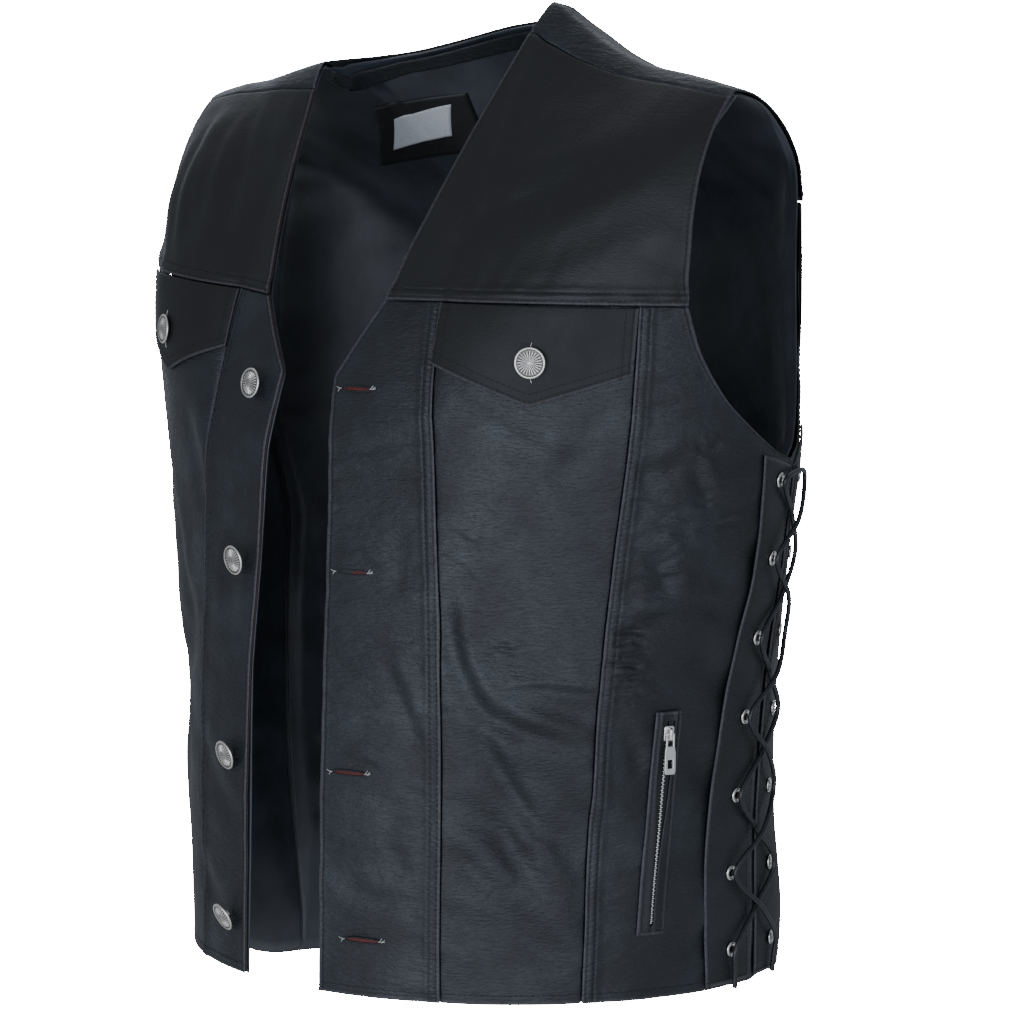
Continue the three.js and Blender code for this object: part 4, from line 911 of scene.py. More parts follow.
# Where leather is crumpled finely: theta, z, half widths in mm across and down, share
crumples = np.array([
    (62, -408, 16, 32, 1), (70, -345, 30, 26, 0.7), (64, -300, 24, 22, 0.5), (31, -335, 12, 22, 0.5),
    (40, -400, 18, 12, 0.4), (44, -540, 26, 40, 0.4), (10, -430, 24, 60, 0.35), (9, -320, 20, 40, 0.4),
    (76, -310, 20, 20, 0.4), (-30, -400, 30, 60, 0.3), (150, -420, 60, 50, 0.4), (215, -480, 60, 50, 0.4)],
    float)


def crumpleShare(theta, z):
    total = 0.12 + 0 * (theta + z)
    for place, level, wide, high, share in crumples:
        x = ((theta - place + 540) % 360 - 180) * mmPerDegree
        total = total + share * np.exp(-((x / wide) ** 2) - ((z - level) / high) ** 2)
    return np.clip(total, 0, 1)


# Low waves of cloth that has been worn: soft noise 60 mm, 26 mm and 9 mm long, the middle ones
# only in patches and the shortest where the leather is crumpled
def wornRelief(theta, z):
    u, v = theta * mmPerDegree, z
    patchy = ease(0.5 + 0.9 * softNoise(u, v, 60, 80, 5))
    return (1.5 * softNoise(u, v, 60, 76, 1) + 0.8 * softNoise(u + 0.4 * v, v, 26, 19, 2) * patchy
            + 1.2 * softNoise(u - 0.3 * v, v, 9, 5, 3) * np.maximum(crumpleShare(theta, z) - 0.12, 0))


# Lays a grid on the form as leather. kinds names how each side stands; round edges come from
# the half thickness shrinking over the last 0.9 mm by the sine of an arc.
def leatherGrid(theta, z, lift, thickness, kinds, sign=1, calm=1, shift=0, extra=0, freeDistance=None,
                hug=0):
    theta = theta * sign
    plain = bare(theta, z)
    distances = sideDistances(plain)
    alongFor = {"near": "top", "far": "top", "top": "near", "bottom": "near"}
    relief = foldHeight(theta, z) + calm * (creaseHeight(theta, z) + wornRelief(theta, z)) + extra
    free = np.full(theta.shape, 99.0) if freeDistance is None else freeDistance
    edgeHighlightMask = np.zeros(theta.shape)
    for i, (name, kind) in enumerate(kinds.items()):
        relief = relief + edgeRelief(kind, distances[name], distances[alongFor[name]], shift + i * 3)
        free = np.minimum(free, distances[name])
        relief = relief - hug * np.exp(-((distances[name] / 3) ** 2))
        # Free and lapped edges give the mask of a painted highlight, kept as edge
        if kind in ("free", "lapped"):
            edgeHighlightMask = np.maximum(edgeHighlightMask, bell(distances[name], 0.6, 1.2))
    arc = 0.45 + 0.55 * np.sqrt(np.clip(1 - (1 - np.clip(free / 0.9, 0, 1)) ** 2, 0, 1))
    middle = lift - thickness / 2
    return {
        "plain": plain, "theta": theta, "z": z, "distances": distances, "edge": edgeHighlightMask,
        "crumple": crumpleShare(theta, z) * calm, "outer": layer(theta, z, middle + arc * thickness / 2,
                relief),
        "inner": layer(theta, z, middle - arc * thickness / 2, relief),
    }


stitchRows = []  # (group, points, normals)


# A row of stitches on a shell's outer wall, at a distance from one of its sides
def stitchAlong(group, name, side, distance, start=0, end=1):
    piece = pieces[name]
    outer, d = piece["grids"][0]["outer"], piece["grids"][0]["distances"][side]
    normal = unit(np.cross(np.gradient(outer, axis=1), np.gradient(outer, axis=0)))
    normal = normal * (1 if piece["mirrored"] else -1)
    if side not in ("near", "far"):
        d, outer, normal = d.T, outer.transpose(1, 0, 2), normal.transpose(1, 0, 2)
    order = slice(None) if side in ("near", "top") else slice(None, None, -1)
    lane = np.array([[np.interp(distance, d[r][order], v[r][order][:, k])
                      for v in (outer, normal) for k in range(3)] for r in range(len(outer))])
    keep = slice(int(start * (len(lane) - 1)), int(end * (len(lane) - 1)) + 1)
    stitchRows.append((group, lane[keep, :3], unit(lane[keep, 3:])))


freeSides = {side: "free" for side in ("near", "far", "top", "bottom")}
inset = layers["seamGap"] / 2
yokeInset = layers["yokeSeamGap"] / 2
rowStep = {"left": 1.25, "right": 2.2}
columnStep = {"left": 2.7, "right": 4.2}

for side, front in fronts.items():
    sign, own = front["sign"], lines[side]
    mirrored = sign < 0
    seamTop, centreTop = frontSeamRows[0, 1], centreSeamRows[0, 1]
    hemTheta = float(thetaAt(front["edge"][2][0], hemZ))
    centreHem, seamHem = centreSeamRows[-1, 1], frontSeamRows[-1, 1]
    step, wide = rowStep[side], columnStep[side]
    down = shares(450, step, "under", "free")
    bend = 0 if side == "left" else 40

    seamInsets = {"top": yokeInset, "near": inset, "far": inset}
    # Node, ends of its top, hem, sides, width, how its sides stand, insets, share of wear, seed
    panels = {
        "placket": ("front_centre", (own["yokeTheta"], centreTop),
                    between((hemTheta, hemZ), (centreHem, hemZ)), ("frontEdge", "centreSeam"),
                    74, ("free", "lapped"), {"top": yokeInset, "far": inset}, 0.8, 0),
        "chest_panel": ("front_mid", (centreTop, seamTop),
                        between((centreHem, hemZ), (seamHem, hemZ)), ("centreSeam", "frontSeam"),
                        118, ("under", "under"), seamInsets, 1, 10),
        "side_panel": ("front_side", (seamTop, own["armTheta"]), own["sideHem"],
                       ("frontSeam", "side"), 150, ("lapped", "free"), seamInsets, 1, 20),
    }
    for name, (node, ends, hem, (near, far), width, stands, insets, calm, seed) in panels.items():
        theta, z = gridBetween(own["yokeSeam"](*ends), hem, own[near], own[far],
                               shares(width, wide, *stands), down, insets)
        kinds = {"near": stands[0], "far": stands[1], "top": "under", "bottom": "free"}
        leatherShell(f"{name}_{side}", f"{node}_{side}", finishes["leather"],
                     [leatherGrid(theta, z, 0, layers["leather"], kinds, sign, calm, bend + seed)],
                     mirrored=mirrored)
    theta, z = gridBetween(own["shoulderSeam"], own["yokeSeam"](own["yokeTheta"], own["armTheta"]),
                           between(endsOf(own["shoulderSeam"])[0], (own["yokeTheta"], yokeZ)),
                           between(endsOf(own["shoulderSeam"])[1], (own["armTheta"], front["yokeTipZ"])),
                           shares(165, wide, "free", "free"), shares(160, wide * 0.8, "seam", "lapped"),
                           {"top": yokeInset, "bottom": yokeInset})
    # The front yoke takes the darker leather copy: painted shade
    leatherShell(f"front_yoke_panel_{side}", f"front_yoke_{side}", finishes["shadedYokeLeather"],
                 [leatherGrid(theta, z, 0, layers["leather"],
                              {"near": "free", "far": "free", "top": "seam", "bottom": "lapped"}, sign, 0.9,
                              bend + 30)], mirrored=mirrored)
    group = f"stitching_front_{side}"
    for name, edge, distance in (
            ("placket", "near", 2.8), ("placket", "far", 2.5), ("placket", "far", 7.5),
            ("placket", "bottom", 6), ("chest_panel", "bottom", 6), ("side_panel", "near", 2.5),
            ("side_panel", "near", 7.5), ("side_panel", "bottom", 6),
            ("front_yoke_panel", "bottom", 2.5), ("front_yoke_panel", "bottom", 7.5),
            ("front_yoke_panel", "near", 2.8), ("front_yoke_panel", "far", 3)):
        stitchAlong(group, f"{name}_{side}", edge, distance)
    stitchAlong(group, f"side_panel_{side}", "far", 3, 0, armholeShare)

    # Pocket flap: a shield shape, its point at the button
    dropAt = lambda theta: np.interp((theta - 22.7) / 35.2, [0, 0.49, 1], [39, 64, 43])
    flapTop = lambda at, own=own: (mix(centreTop, seamTop, at),
                                   own["yokeSeamZ"](mix(centreTop, seamTop, at)) - 1)
    flapAt = lambda at: mix(22.7, 57.9, at)
    flapBottom = lambda at, own=own: (flapAt(at), own["yokeSeamZ"](flapAt(at)) - dropAt(flapAt(at)))
    ends = list(zip(endsOf(flapTop), endsOf(flapBottom)))
    theta, z = gridBetween(flapTop, flapBottom, between(*ends[0]), between(*ends[1]),
                           shares(118, 2.2, "free", "free"), shares(52, 1.8, "under", "free"),
                           {"top": yokeInset, "near": inset, "far": inset})
    # The flap takes the darkest leather copy: painted shade
    leatherShell(f"flap_{side}", f"pocket_flap_{side}", finishes["shadedFlapLeather"],
                 [leatherGrid(theta, z, layers["flapLift"] + layers["flap"], layers["flap"],
                              {"near": "free", "far": "free", "top": "", "bottom": "free"}, sign, 0.6,
                              bend + 44, hug=0.3)],
                 mirrored=mirrored)
    for edge in ("near", "far", "bottom"):
        stitchAlong(group, f"flap_{side}", edge, 2.8)
        stitchAlong(group, f"flap_{side}", edge, 8)

print("fronts made")

# Back: a yoke that wraps over both shoulders to the shoulder seams, and one body panel


def ridgeShares():
    return shares(150, 3.4, "free", "free")


def backTopLine():
    ridge = ridgeShares()
    leftTheta, leftZ = lines["left"]["ridge"](ridge[::-1])
    rightTheta, rightZ = lines["right"]["ridge"](ridge)
    angle = np.linspace(0, 180, 76)[1:-1]
    x = neckHole["middleX"] + neckHole["radius"] * np.cos(np.radians(angle))
    neckZ = through(neckHeights, 1, angle)
    return (np.concatenate([180 - leftTheta, 180 - thetaAt(x, neckZ), 180 + rightTheta]),
            np.concatenate([leftZ, neckZ, rightZ]), len(ridge), len(angle))


topTheta, topHeight, ridgeCount, neckCount = backTopLine()
ownShares = np.linspace(0, 1, len(topTheta))
alongBackTop = lambda at: (np.interp(at, ownShares, topTheta), np.interp(at, ownShares, topHeight))
leftArm = curve([(0, topTheta[0], topHeight[0])] + backArmholeRows["left"])
rightArm = curve([(0, 360 - topTheta[-1], topHeight[-1])] + backArmholeRows["right"])
yokeArmShare = 0.55
otherSide = lambda line: lambda at: (360 - line(at)[0], line(at)[1])
yokeArm = part(leftArm, 0, yokeArmShare)
yokeArmRight = otherSide(part(rightArm, 0, yokeArmShare))
backSeam = lambda at: (mix(backSeamEnds["left"], 360 - backSeamEnds["right"], at),
                       backSeamEnds["z"] + 0 * at)

yokeDown = np.concatenate([[0, 0.003, 0.008, 0.015, 0.025], shares(190, 3.2, "", "lapped")[3:]])
theta, z = gridBetween(alongBackTop, backSeam, yokeArm, yokeArmRight, ownShares, yokeDown,
                       {"bottom": yokeInset})
z[0] = topHeight
theta[0] = topTheta
plain = bare(theta, z)
found = sideDistances(plain)
columns = np.arange(len(topTheta))
offNeck = np.where((columns >= ridgeCount - 1) & (columns <= ridgeCount + neckCount), 0,
                   np.minimum(np.abs(found["near"] - found["near"][:, [ridgeCount - 1]]),
                              np.abs(found["near"] - found["near"][:, [ridgeCount + neckCount]])))
neckDistance = np.hypot(offNeck, found["top"])
backGrid = leatherGrid(theta, z, 0, layers["leather"], {"near": "free", "far": "free", "bottom": "lapped"},
                       1, 0.9, 60,
                       0.25 * bell(neckDistance, 1.6, 1.2) - 0.3 * bell(neckDistance, 3, 0.8), neckDistance)
backGrid["distances"]["neck"] = neckDistance
shoulderGrids = []
for side, front in fronts.items():
    own = lines[side]
    start, end = endsOf(own["shoulderSeam"])
    ridgeStart, ridgeEnd = endsOf(own["ridge"])
    theta, z = gridBetween(own["ridge"], own["shoulderSeam"], between(ridgeStart, start),
                           between(ridgeEnd, end),
                           ridgeShares(), np.array([0, 0.03, 0.08, 0.16, 0.28, 0.42, 0.58, 0.74, 0.88, 0.96,
                                                    1]),
                           {"bottom": yokeInset})
    shoulderGrids.append((side, leatherGrid(theta, z, 0, layers["leather"],
                                            {"near": "free", "far": "free", "bottom": "seam"},
                                            front["sign"], 0.9, 66 if side == "left" else 70)))
# The left shoulder's grid runs the same way as the back's, and the right one is turned to match
for side, g in shoulderGrids:
    if side == "right":
        for key in ("plain", "outer", "inner", "edge", "crumple", "theta", "z"):
            g[key] = g[key][:, ::-1]
        g["distances"] = {key: value[:, ::-1] for key, value in g["distances"].items()}
leatherShell("back_yoke_panel", "back_yoke", finishes["leather"],
             [backGrid] + [g for _, g in shoulderGrids])

armShare = 5 / 24


def bodyTop(at):
    at = np.asarray(at, float)
    a = part(leftArm, 1, yokeArmShare)(np.clip(at / armShare, 0, 1))
    b = backSeam(np.clip((at - armShare) / (1 - 2 * armShare), 0, 1))
    c = otherSide(part(rightArm, 1, yokeArmShare))(np.clip((1 - at) / armShare, 0, 1))
    return tuple(np.where(at < armShare, p, np.where(at > 1 - armShare, r, q)) for p, q, r in zip(a, b, c))


leftSeam, rightSeam = lines["left"]["sideSeam"], lines["right"]["sideSeam"]
theta, z = gridBetween(bodyTop, curve(backHemRows), leftSeam, otherSide(rightSeam),
                       shares(560, 4.2, "free", "free"), shares(500, 3.4, "under", "free"),
                       {"top": inset, "near": inset, "far": inset})
leatherShell("back_panel", "back_body", finishes["leather"],
             [leatherGrid(theta, z, 0, layers["leather"],
                          {"near": "free", "far": "free", "top": "under", "bottom": "free"}, 1, 1, 76)])
for edge, distance in (("bottom", 2.5), ("bottom", 7.5), ("near", 3), ("far", 3)):
    stitchAlong("stitching_back", "back_yoke_panel", edge, distance)
stitchAlong("stitching_back", "back_yoke_panel", "top", 3, (ridgeCount - 1) / len(topTheta),
            (ridgeCount + neckCount) / len(topTheta))
for edge, distance, start, end in (("bottom", 6, 0, 1), ("top", 3, 0, armShare),
                                   ("top", 3, 1 - armShare, 1)):
    stitchAlong("stitching_back", "back_panel", edge, distance, start, end)
print("back made")

# Lining: three satin panels. It comes up to the leather at its edges, hangs 7 mm off it inside,
# and its wrinkles only ever hang further in.
liningSink = {"edge": 3, "middle": 7, "reach": 0.2}
liningArm, liningYoke, liningVee = 0.42, 0.26, 0.34


# The lining lies flat under the neck label
def labelShare(theta, z):
    return np.exp(-(((theta - 207.5) / 23) ** 4) - ((z + 68) / 40) ** 4)


def liningSinkAt(theta, z):
    topZ = topLine(ring(z, 1) * np.sin(np.radians(theta)), np.cos(np.radians(theta)) > 0)[1]
    return mix(liningSink["edge"], liningSink["middle"], np.clip((topZ - z) / 131, 0, 1))


def satinGrid(theta, z, across, down, steps, sign=1, shift=0):
    inside = np.minimum.reduce([across[None, :] * steps + 0 * down[:, None],
                                (1 - across[None, :]) * steps + 0 * down[:, None],
                                (1 - down[:, None]) / 0.097 + 0 * across[None, :],
                                down[:, None] / liningSink["reach"] + 0 * across[None, :]])
    sink = mix(liningSink["edge"], liningSink["middle"], np.clip(inside, 0, 1))
    sink = mix(sink, liningSinkAt(theta, z), labelShare(theta, z))
    theta = theta * sign
    u = theta * mmPerDegree
    hang = ease(inside / 2)
    long = softNoise(u + 0.25 * z, z, 120, 26, shift) + 0.5 * softNoise(u - 0.2 * z, z, 60, 15, shift + 1)
    slack = -hang * (2.2 * np.abs(long) + 0.6 * np.abs(softNoise(u, z, 22, 9, shift + 2))
                     + 2 * ease(0.5 + softNoise(u, z, 90, 120, shift + 3)))
    relief = (np.minimum(foldHeight(theta, z), 0) + slack) * (1 - labelShare(theta, z))
    plain = bare(theta, z)
    return {"plain": plain, "theta": theta, "z": z, "distances": sideDistances(plain), "edge": 0 * theta,
            "outer": layer(theta, z, -sink, relief),
            "inner": layer(theta, z, -sink - layers["satin"], relief)}


liningDown = np.concatenate([[0, 0.004, 0.01, 0.018, 0.03], np.linspace(0.04, 1, 96)])
for side, front in fronts.items():
    own = lines[side]
    vee = (float(thetaAt(*front["vee"])), front["vee"][1])
    ridgeStart, ridgeEnd = endsOf(own["ridge"])
    share = (front["vee"][1] - yokeZ) / (hemZ - yokeZ)
    neckline = inTwo(between(ridgeStart, (own["yokeTheta"], yokeZ)),
                     between((own["yokeTheta"], yokeZ), vee), liningYoke / liningVee)
    nearLine = inTwo(neckline, part(own["frontEdge"], share, 1), liningVee)
    armLine = inTwo(between(ridgeEnd, (own["armTheta"], front["yokeTipZ"])),
                    part(own["side"], 0, armholeShare), liningYoke / liningArm)
    farLine = inTwo(armLine, own["sideSeam"], liningArm)
    across = np.linspace(0, 1, 50)
    hemStart = (float(thetaAt(front["edge"][2][0], hemZ)), hemZ)
    seamHem = (float(frontSeamRows[-1, 1]), hemZ)
    hemLine = inTwo(between(hemStart, seamHem), own["sideHem"],
                    (seamHem[0] - hemStart[0]) / (97 - hemStart[0]))
    theta, z = gridBetween(own["ridge"], hemLine, nearLine, farLine, across, liningDown, {})
    leatherShell(f"lining_front_{side}", "lining", finishes["satin"],
                 [satinGrid(theta, z, across, liningDown, 9, front["sign"], 80)],
                 front["sign"] < 0)
liningAcross = np.interp(np.linspace(0, 1, 130), np.linspace(0, 1, len(ownShares)), ownShares)
theta, z = gridBetween(alongBackTop, curve(backHemRows), inTwo(leftArm, leftSeam, liningArm),
                       otherSide(inTwo(rightArm, rightSeam, liningArm)), liningAcross, liningDown, {})
leatherShell("lining_back", "lining", finishes["satin"],
             [satinGrid(theta, z, liningAcross, liningDown, 28, 1, 90)],
             False)

# Neck facing: a leather band inside the back of the neck
behindNeck = slice(ridgeCount - 1, ridgeCount + neckCount + 1)
theta, z = gridBetween(alongBackTop, backSeam, yokeArm, yokeArmRight, ownShares,
                       np.linspace(0.01, layers["facingHeight"] / 250, 12), {})
theta, z = theta[:, behindNeck], z[:, behindNeck]
leatherShell("neck_band", "neck_facing", finishes["leather"],
             [leatherGrid(theta, z, -layers["facingSink"], layers["leather"],
                          {"near": "", "far": "", "top": "", "bottom": ""}, 1, 0.2, 96)])
print("lining made")

# Side strips: their cells round each eyelet are left out, so that the holes are real
eyelet = {"hole": 2.6, "barrel": 3.4, "rim": 5, "cellsOut": 4.1}


def stripSamples():
    rows = [strips["topZ"] - r * strips["pitch"] for r in range(strips["rows"])]
    top, bottom = strips["nearTop"], hemZ + 1
    close = np.concatenate([[z + d for d in np.arange(-6.5, 6.6, 1.3)] for z in rows])
    loose = np.arange(top, bottom, -4.0)
    loose = loose[np.min(np.abs(loose[:, None] - np.array(rows)[None]), 1) > 8]
    z = np.unique(np.round(np.clip(np.concatenate([close, loose, [top, top - 0.5, bottom, bottom + 0.5]]),
                                   bottom, top), 3))[::-1]
    return (z - top) / (bottom - top)


for side, sign in (("left", 1), ("right", -1)):
    for which in ("front", "back"):
        turn = stripSigns[which]
        down = stripSamples()
        close = np.arange(-6.5, 6.6, 1.3) / strips["width"] + 0.5
        across = np.concatenate([[0, 0.01, 0.03, 0.055, 0.075, 0.1, 0.15, 0.21, 0.27], close,
                                 [0.73, 0.79, 0.85, 0.9, 0.925, 0.945, 0.97, 0.99, 1]])
        s, t = across[None, :], down[:, None]
        bottom = hemZ + 1
        z = mix(mix(strips["nearTop"], bottom, t), mix(strips["farTop"][which], bottom, t), s)
        theta = fromSeam(turn * (strips["fromSeam"] + strips["width"] * s + 0 * t), z)
        g = leatherGrid(theta, z, layers["stripLift"] + layers["strip"], layers["strip"],
                        freeSides, sign, 0.2, 100, hug=0.7)
        centres = np.array([onForm(sign * p[0], p[1], layers["stripLift"] + layers["strip"])
                            for p in (eyeletPlace(which, row) for row in range(1, strips["rows"] + 1))])
        cells = (g["outer"][:-1, :-1] + g["outer"][1:, 1:]) / 2
        gap = np.min(np.linalg.norm(cells[:, :, None] - centres[None, None], axis=-1), axis=2)
        g["keep"] = gap > eyelet["cellsOut"]
        leatherShell(f"strip_{which}_{side}", f"side_strip_{which}_{side}", finishes["stripLeather"], [g],
                     mirrored=(sign * turn < 0))
        for edge in ("near", "far", "bottom"):
            stitchAlong(f"stitching_strips_{side}", f"strip_{which}_{side}", edge, 2.8)
print("strips made")

# Turned metal: a profile of (radius, height) spun about the outward axis, closed at its poles


def spun(profile, segments, wave=None):
    profile = np.array(profile, float)
    turn = np.linspace(0, 2 * np.pi, segments, endpoint=False)
    r, h = profile[:, :1] + 0 * turn, profile[:, 1:] + 0 * turn
    if wave is not None:
        h = h + wave(r, turn[None, :])
    points = np.stack([r * np.cos(turn), h, r * np.sin(turn)], -1).reshape(-1, 3)
    return points, quadsOf(len(profile), segments, wrap=True)


def placed(points, seat):
    axes, origin = seat
    return points @ axes + origin


def joined(parts):
    points = np.vstack([p for p, _ in parts])
    starts = np.cumsum([0] + [len(p) for p, _ in parts[:-1]])
    widths = sorted({f.shape[1] for _, faces in parts for f in faces})
    return points, [np.vstack([f + start for (_, faces),
                               start in zip(parts, starts) for f in faces if f.shape[1] == width])
                               for width in widths]


# Eyelets: a rolled rim on a barrel. The rim is the upper half of a ring section.
roll = np.radians(np.linspace(180, 0, 9))
middleR, rollR = (eyelet["hole"] + eyelet["rim"]) / 2, (eyelet["rim"] - eyelet["hole"]) / 2
eyeletProfile = [(eyelet["hole"], -1.4)] + [(middleR + rollR * math.cos(a), 0.45 + 0.95 * math.sin(a))
                                            for a in roll] + \
    [(eyelet["rim"] - 0.3, 0.35), (eyelet["barrel"], 0.35), (eyelet["barrel"], -1.4),
     (eyelet["hole"], -1.4)]
for side, sign in (("left", 1), ("right", -1)):
    for which in ("front", "back"):
        parts = []
        for row in range(1, strips["rows"] + 1):
            theta, z = eyeletPlace(which, row)
            points, faces = spun(eyeletProfile, 24)
            parts.append((placed(points, seatOn(sign * theta, z, layers["stripLift"] + layers["strip"])),
                          [faces]))
        obj = addObject(f"eyelets_{which}_{side}", *joined(parts), finishes["nickel"],
                        {"recess": np.tile(np.repeat([0.5] + [0.1] * 9 + [0.6, 0.8, 0.8, 0.8], 24),
                                           strips["rows"]).astype(float)})
        faceOutward(obj)
        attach(obj, "vest")
        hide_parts(*[f"eyelet_{which}_{side}_{row}" for row in range(1, strips["rows"] + 1)])
print("eyelets made")

# Buttons: a rolled rim, a sunburst of 24 rays round a beaded hub, on a shank
button = {"rays": 24, "hub": 2.3}
flapButton = {"theta": 40.4, "drop": 36}
frontButtons = [(-51, -242, 8), (-56, -357, 13), (-59, -486, 16), (-60, -594, 26)]


def sunburst(r, turn):
    zone = ease((r - 2.6) / 0.6) * (1 - ease((r - 7.4) / 0.7))
    beads = bell(r, button["hub"], 0.45) * 0.18 * np.cos(turn * 12)
    return zone * 0.34 * np.cos(turn * button["rays"]) * (0.4 + r / 12) + beads


def buttonParts(shank):
    top = shank + 1.6
    profile = [(0.01, 0), (1.2, 0), (2.4, 0.1), (2.4, shank * 0.5), (2.4, shank), (5, shank + 0.15),
               (9.0, shank + 0.4),
               (9.7, shank + 0.7), (10, shank + 1.2), (9.85, shank + 1.7), (9.4, shank + 2.1),
               (8.9, shank + 2.1), (8.5, top + 0.2),
               (8.2, top), (7.9, top), (7.4, top + 0.1), (6.8, top + 0.25), (6, top + 0.42),
               (5.2, top + 0.55), (4.4, top + 0.65),
               (3.6, top + 0.72), (3, top + 0.74), (2.7, top + 0.7), (2.3, top + 0.85), (1.8, top + 0.8),
               (1.4, top + 1), (0.8, top + 1.12), (0.01, top + 1.15)]
    segments = 144
    points, faces = spun(profile, segments, lambda r,
                         turn: np.where(np.arange(len(profile))[:, None] > 13, sunburst(r, turn), 0))
    low = sunburst(np.array(profile)[:, :1], np.linspace(0, 2 * np.pi, segments, endpoint=False)[None, :])
    recess = np.where(np.arange(len(profile))[:, None] > 12, 0.4 - low * 2.4, 0.1)
    recess[12:15] = 0.75
    return points, [faces], recess.ravel()


buttonSeats = [(f"front_button_{i + 1}", 4.5, float(thetaAt(x, z)), z,
                0.4 + 2.4 * math.sin(math.radians(tilt)), tilt)
               for i, (x, z, tilt) in enumerate(frontButtons)]
for side, front in fronts.items():
    z = float(lines[side]["yokeSeamZ"](flapButton["theta"])) - flapButton["drop"]
    buttonSeats.append((f"flap_button_{side}", 1.2, front["sign"] * flapButton["theta"], z,
                        layers["flapLift"] + layers["flap"] + 0.4, 0))
for name, shank, theta, z, lift, tilt in buttonSeats:
    points, faces, recess = buttonParts(shank)
    obj = addObject(f"{name}_sunburst", placed(points, seatOn(theta, z, lift, tilt)), faces,
                    finishes["button"], {"recess": recess})
    faceOutward(obj)
    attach(obj, "vest")
    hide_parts(name)
print("buttons made")

# Pocket zips

welt = {"top": (71.5, -443), "bottom": (69.2, -590), "halfWidth": 10, "slotHalfWidth": 4.6, "slotEnd": 6,
        "sliderDrop": 8}
slider = {"width": 7.4, "height": 10, "thickness": 2.6}
bridge = {"width": 2.2, "reach": 3.6, "room": 2.2, "bar": 1.1}
pull = {"width": 8, "length": 26, "thickness": 1.2, "slotWidth": 3.8, "slotLength": 8}


def weltTheta(z):
    return mix(welt["top"][0], welt["bottom"][0], (z - welt["top"][1]) / (welt["bottom"][1]
            - welt["top"][1]))


# A rounded block: a ball pushed out towards a box, each axis's sine and cosine to a small power
def roundedBlock(size, centre, power=0.28, rings=12, segments=20):
    v = np.linspace(-np.pi / 2, np.pi / 2, rings)[:, None]
    u = np.linspace(0, 2 * np.pi, segments, endpoint=False)[None, :]
    squared = lambda value: np.sign(value) * np.abs(value) ** power
    x, y = squared(np.cos(v)) * squared(np.cos(u)), squared(np.cos(v)) * squared(np.sin(u))
    points = np.stack([x, y, squared(np.sin(v)) + 0 * u], -1).reshape(-1, 3)
    return points * np.array(size) / 2 + np.array(centre), [quadsOf(rings, segments, wrap=True)]


# A flat strap bent along a path in its own plane of height and length
def strapAlong(path, width, thickness):
    path = np.array(path, float)
    route = np.stack([0 * path[:, 0], path[:, 0], path[:, 1]], -1)
    forward = unit(np.gradient(route, axis=0))
    rise = np.cross(forward, [1.0, 0, 0])
    corner = 0.3
    section = np.array([(-1, -1 + corner), (-1, 1 - corner), (-1 + corner / 2, 1), (1 - corner / 2, 1),
                        (1, 1 - corner), (1, -1 + corner),
                        (1 - corner / 2, -1), (-1 + corner / 2, -1)]) * [width / 2, thickness / 2]
    points = (route[:, None] + np.array([1.0, 0, 0]) * section[None, :, :1]
              + rise[:, None] * section[None, :, 1:]).reshape(-1, 3)
    count = len(section)
    return points, [quadsOf(len(path), count, wrap=True), np.arange(count)[None, ::-1],
                    ((len(path) - 1) * count + np.arange(count))[None]]


# A flat pull: a grid between its long edges, with the cells of two windows left out
def pullParts():
    half, end = pull["width"] / 2, pull["length"]
    xs = np.array([-1, -0.86, -pull["slotWidth"] / 2 / half, 0, pull["slotWidth"] / 2 / half, 0.86, 1])
    zs = np.array([-0.6, 0, 0.6, 3, 5.5, pull["slotLength"], 9, 12, 15.5, 16.5, 19, 22.2, 23.4, 24.6, 25.6,
                   end])
    widths = np.interp(zs, [-0.6, 0, 8, 12, 24, 25.4, end], [0.74, 0.8, 0.8, 0.98, 1, 0.95, 0.78]) * half
    window = lambda x, z: (abs(x) < 0.5) & (((z > 0.6) & (z < 8)) | ((z > 16.5) & (z < 22.2)))
    x = xs[None, :] * widths[:, None]
    z = zs[:, None] + 0 * x
    slot = np.abs(xs) < 0.5
    x = np.where(slot[None, :], xs[None, :] * half, x)
    middle = lambda values: (values[1:] + values[:-1]) / 2
    keep = ~window(middle(xs)[None, :], middle(zs)[:, None])
    plate = lambda y: np.stack([x, 0 * x + y, z], -1)
    grid = {"plain": plate(0), "outer": plate(pull["thickness"] / 2),
            "inner": plate(-pull["thickness"] / 2), "keep": keep}
    return closedSheet(grid)


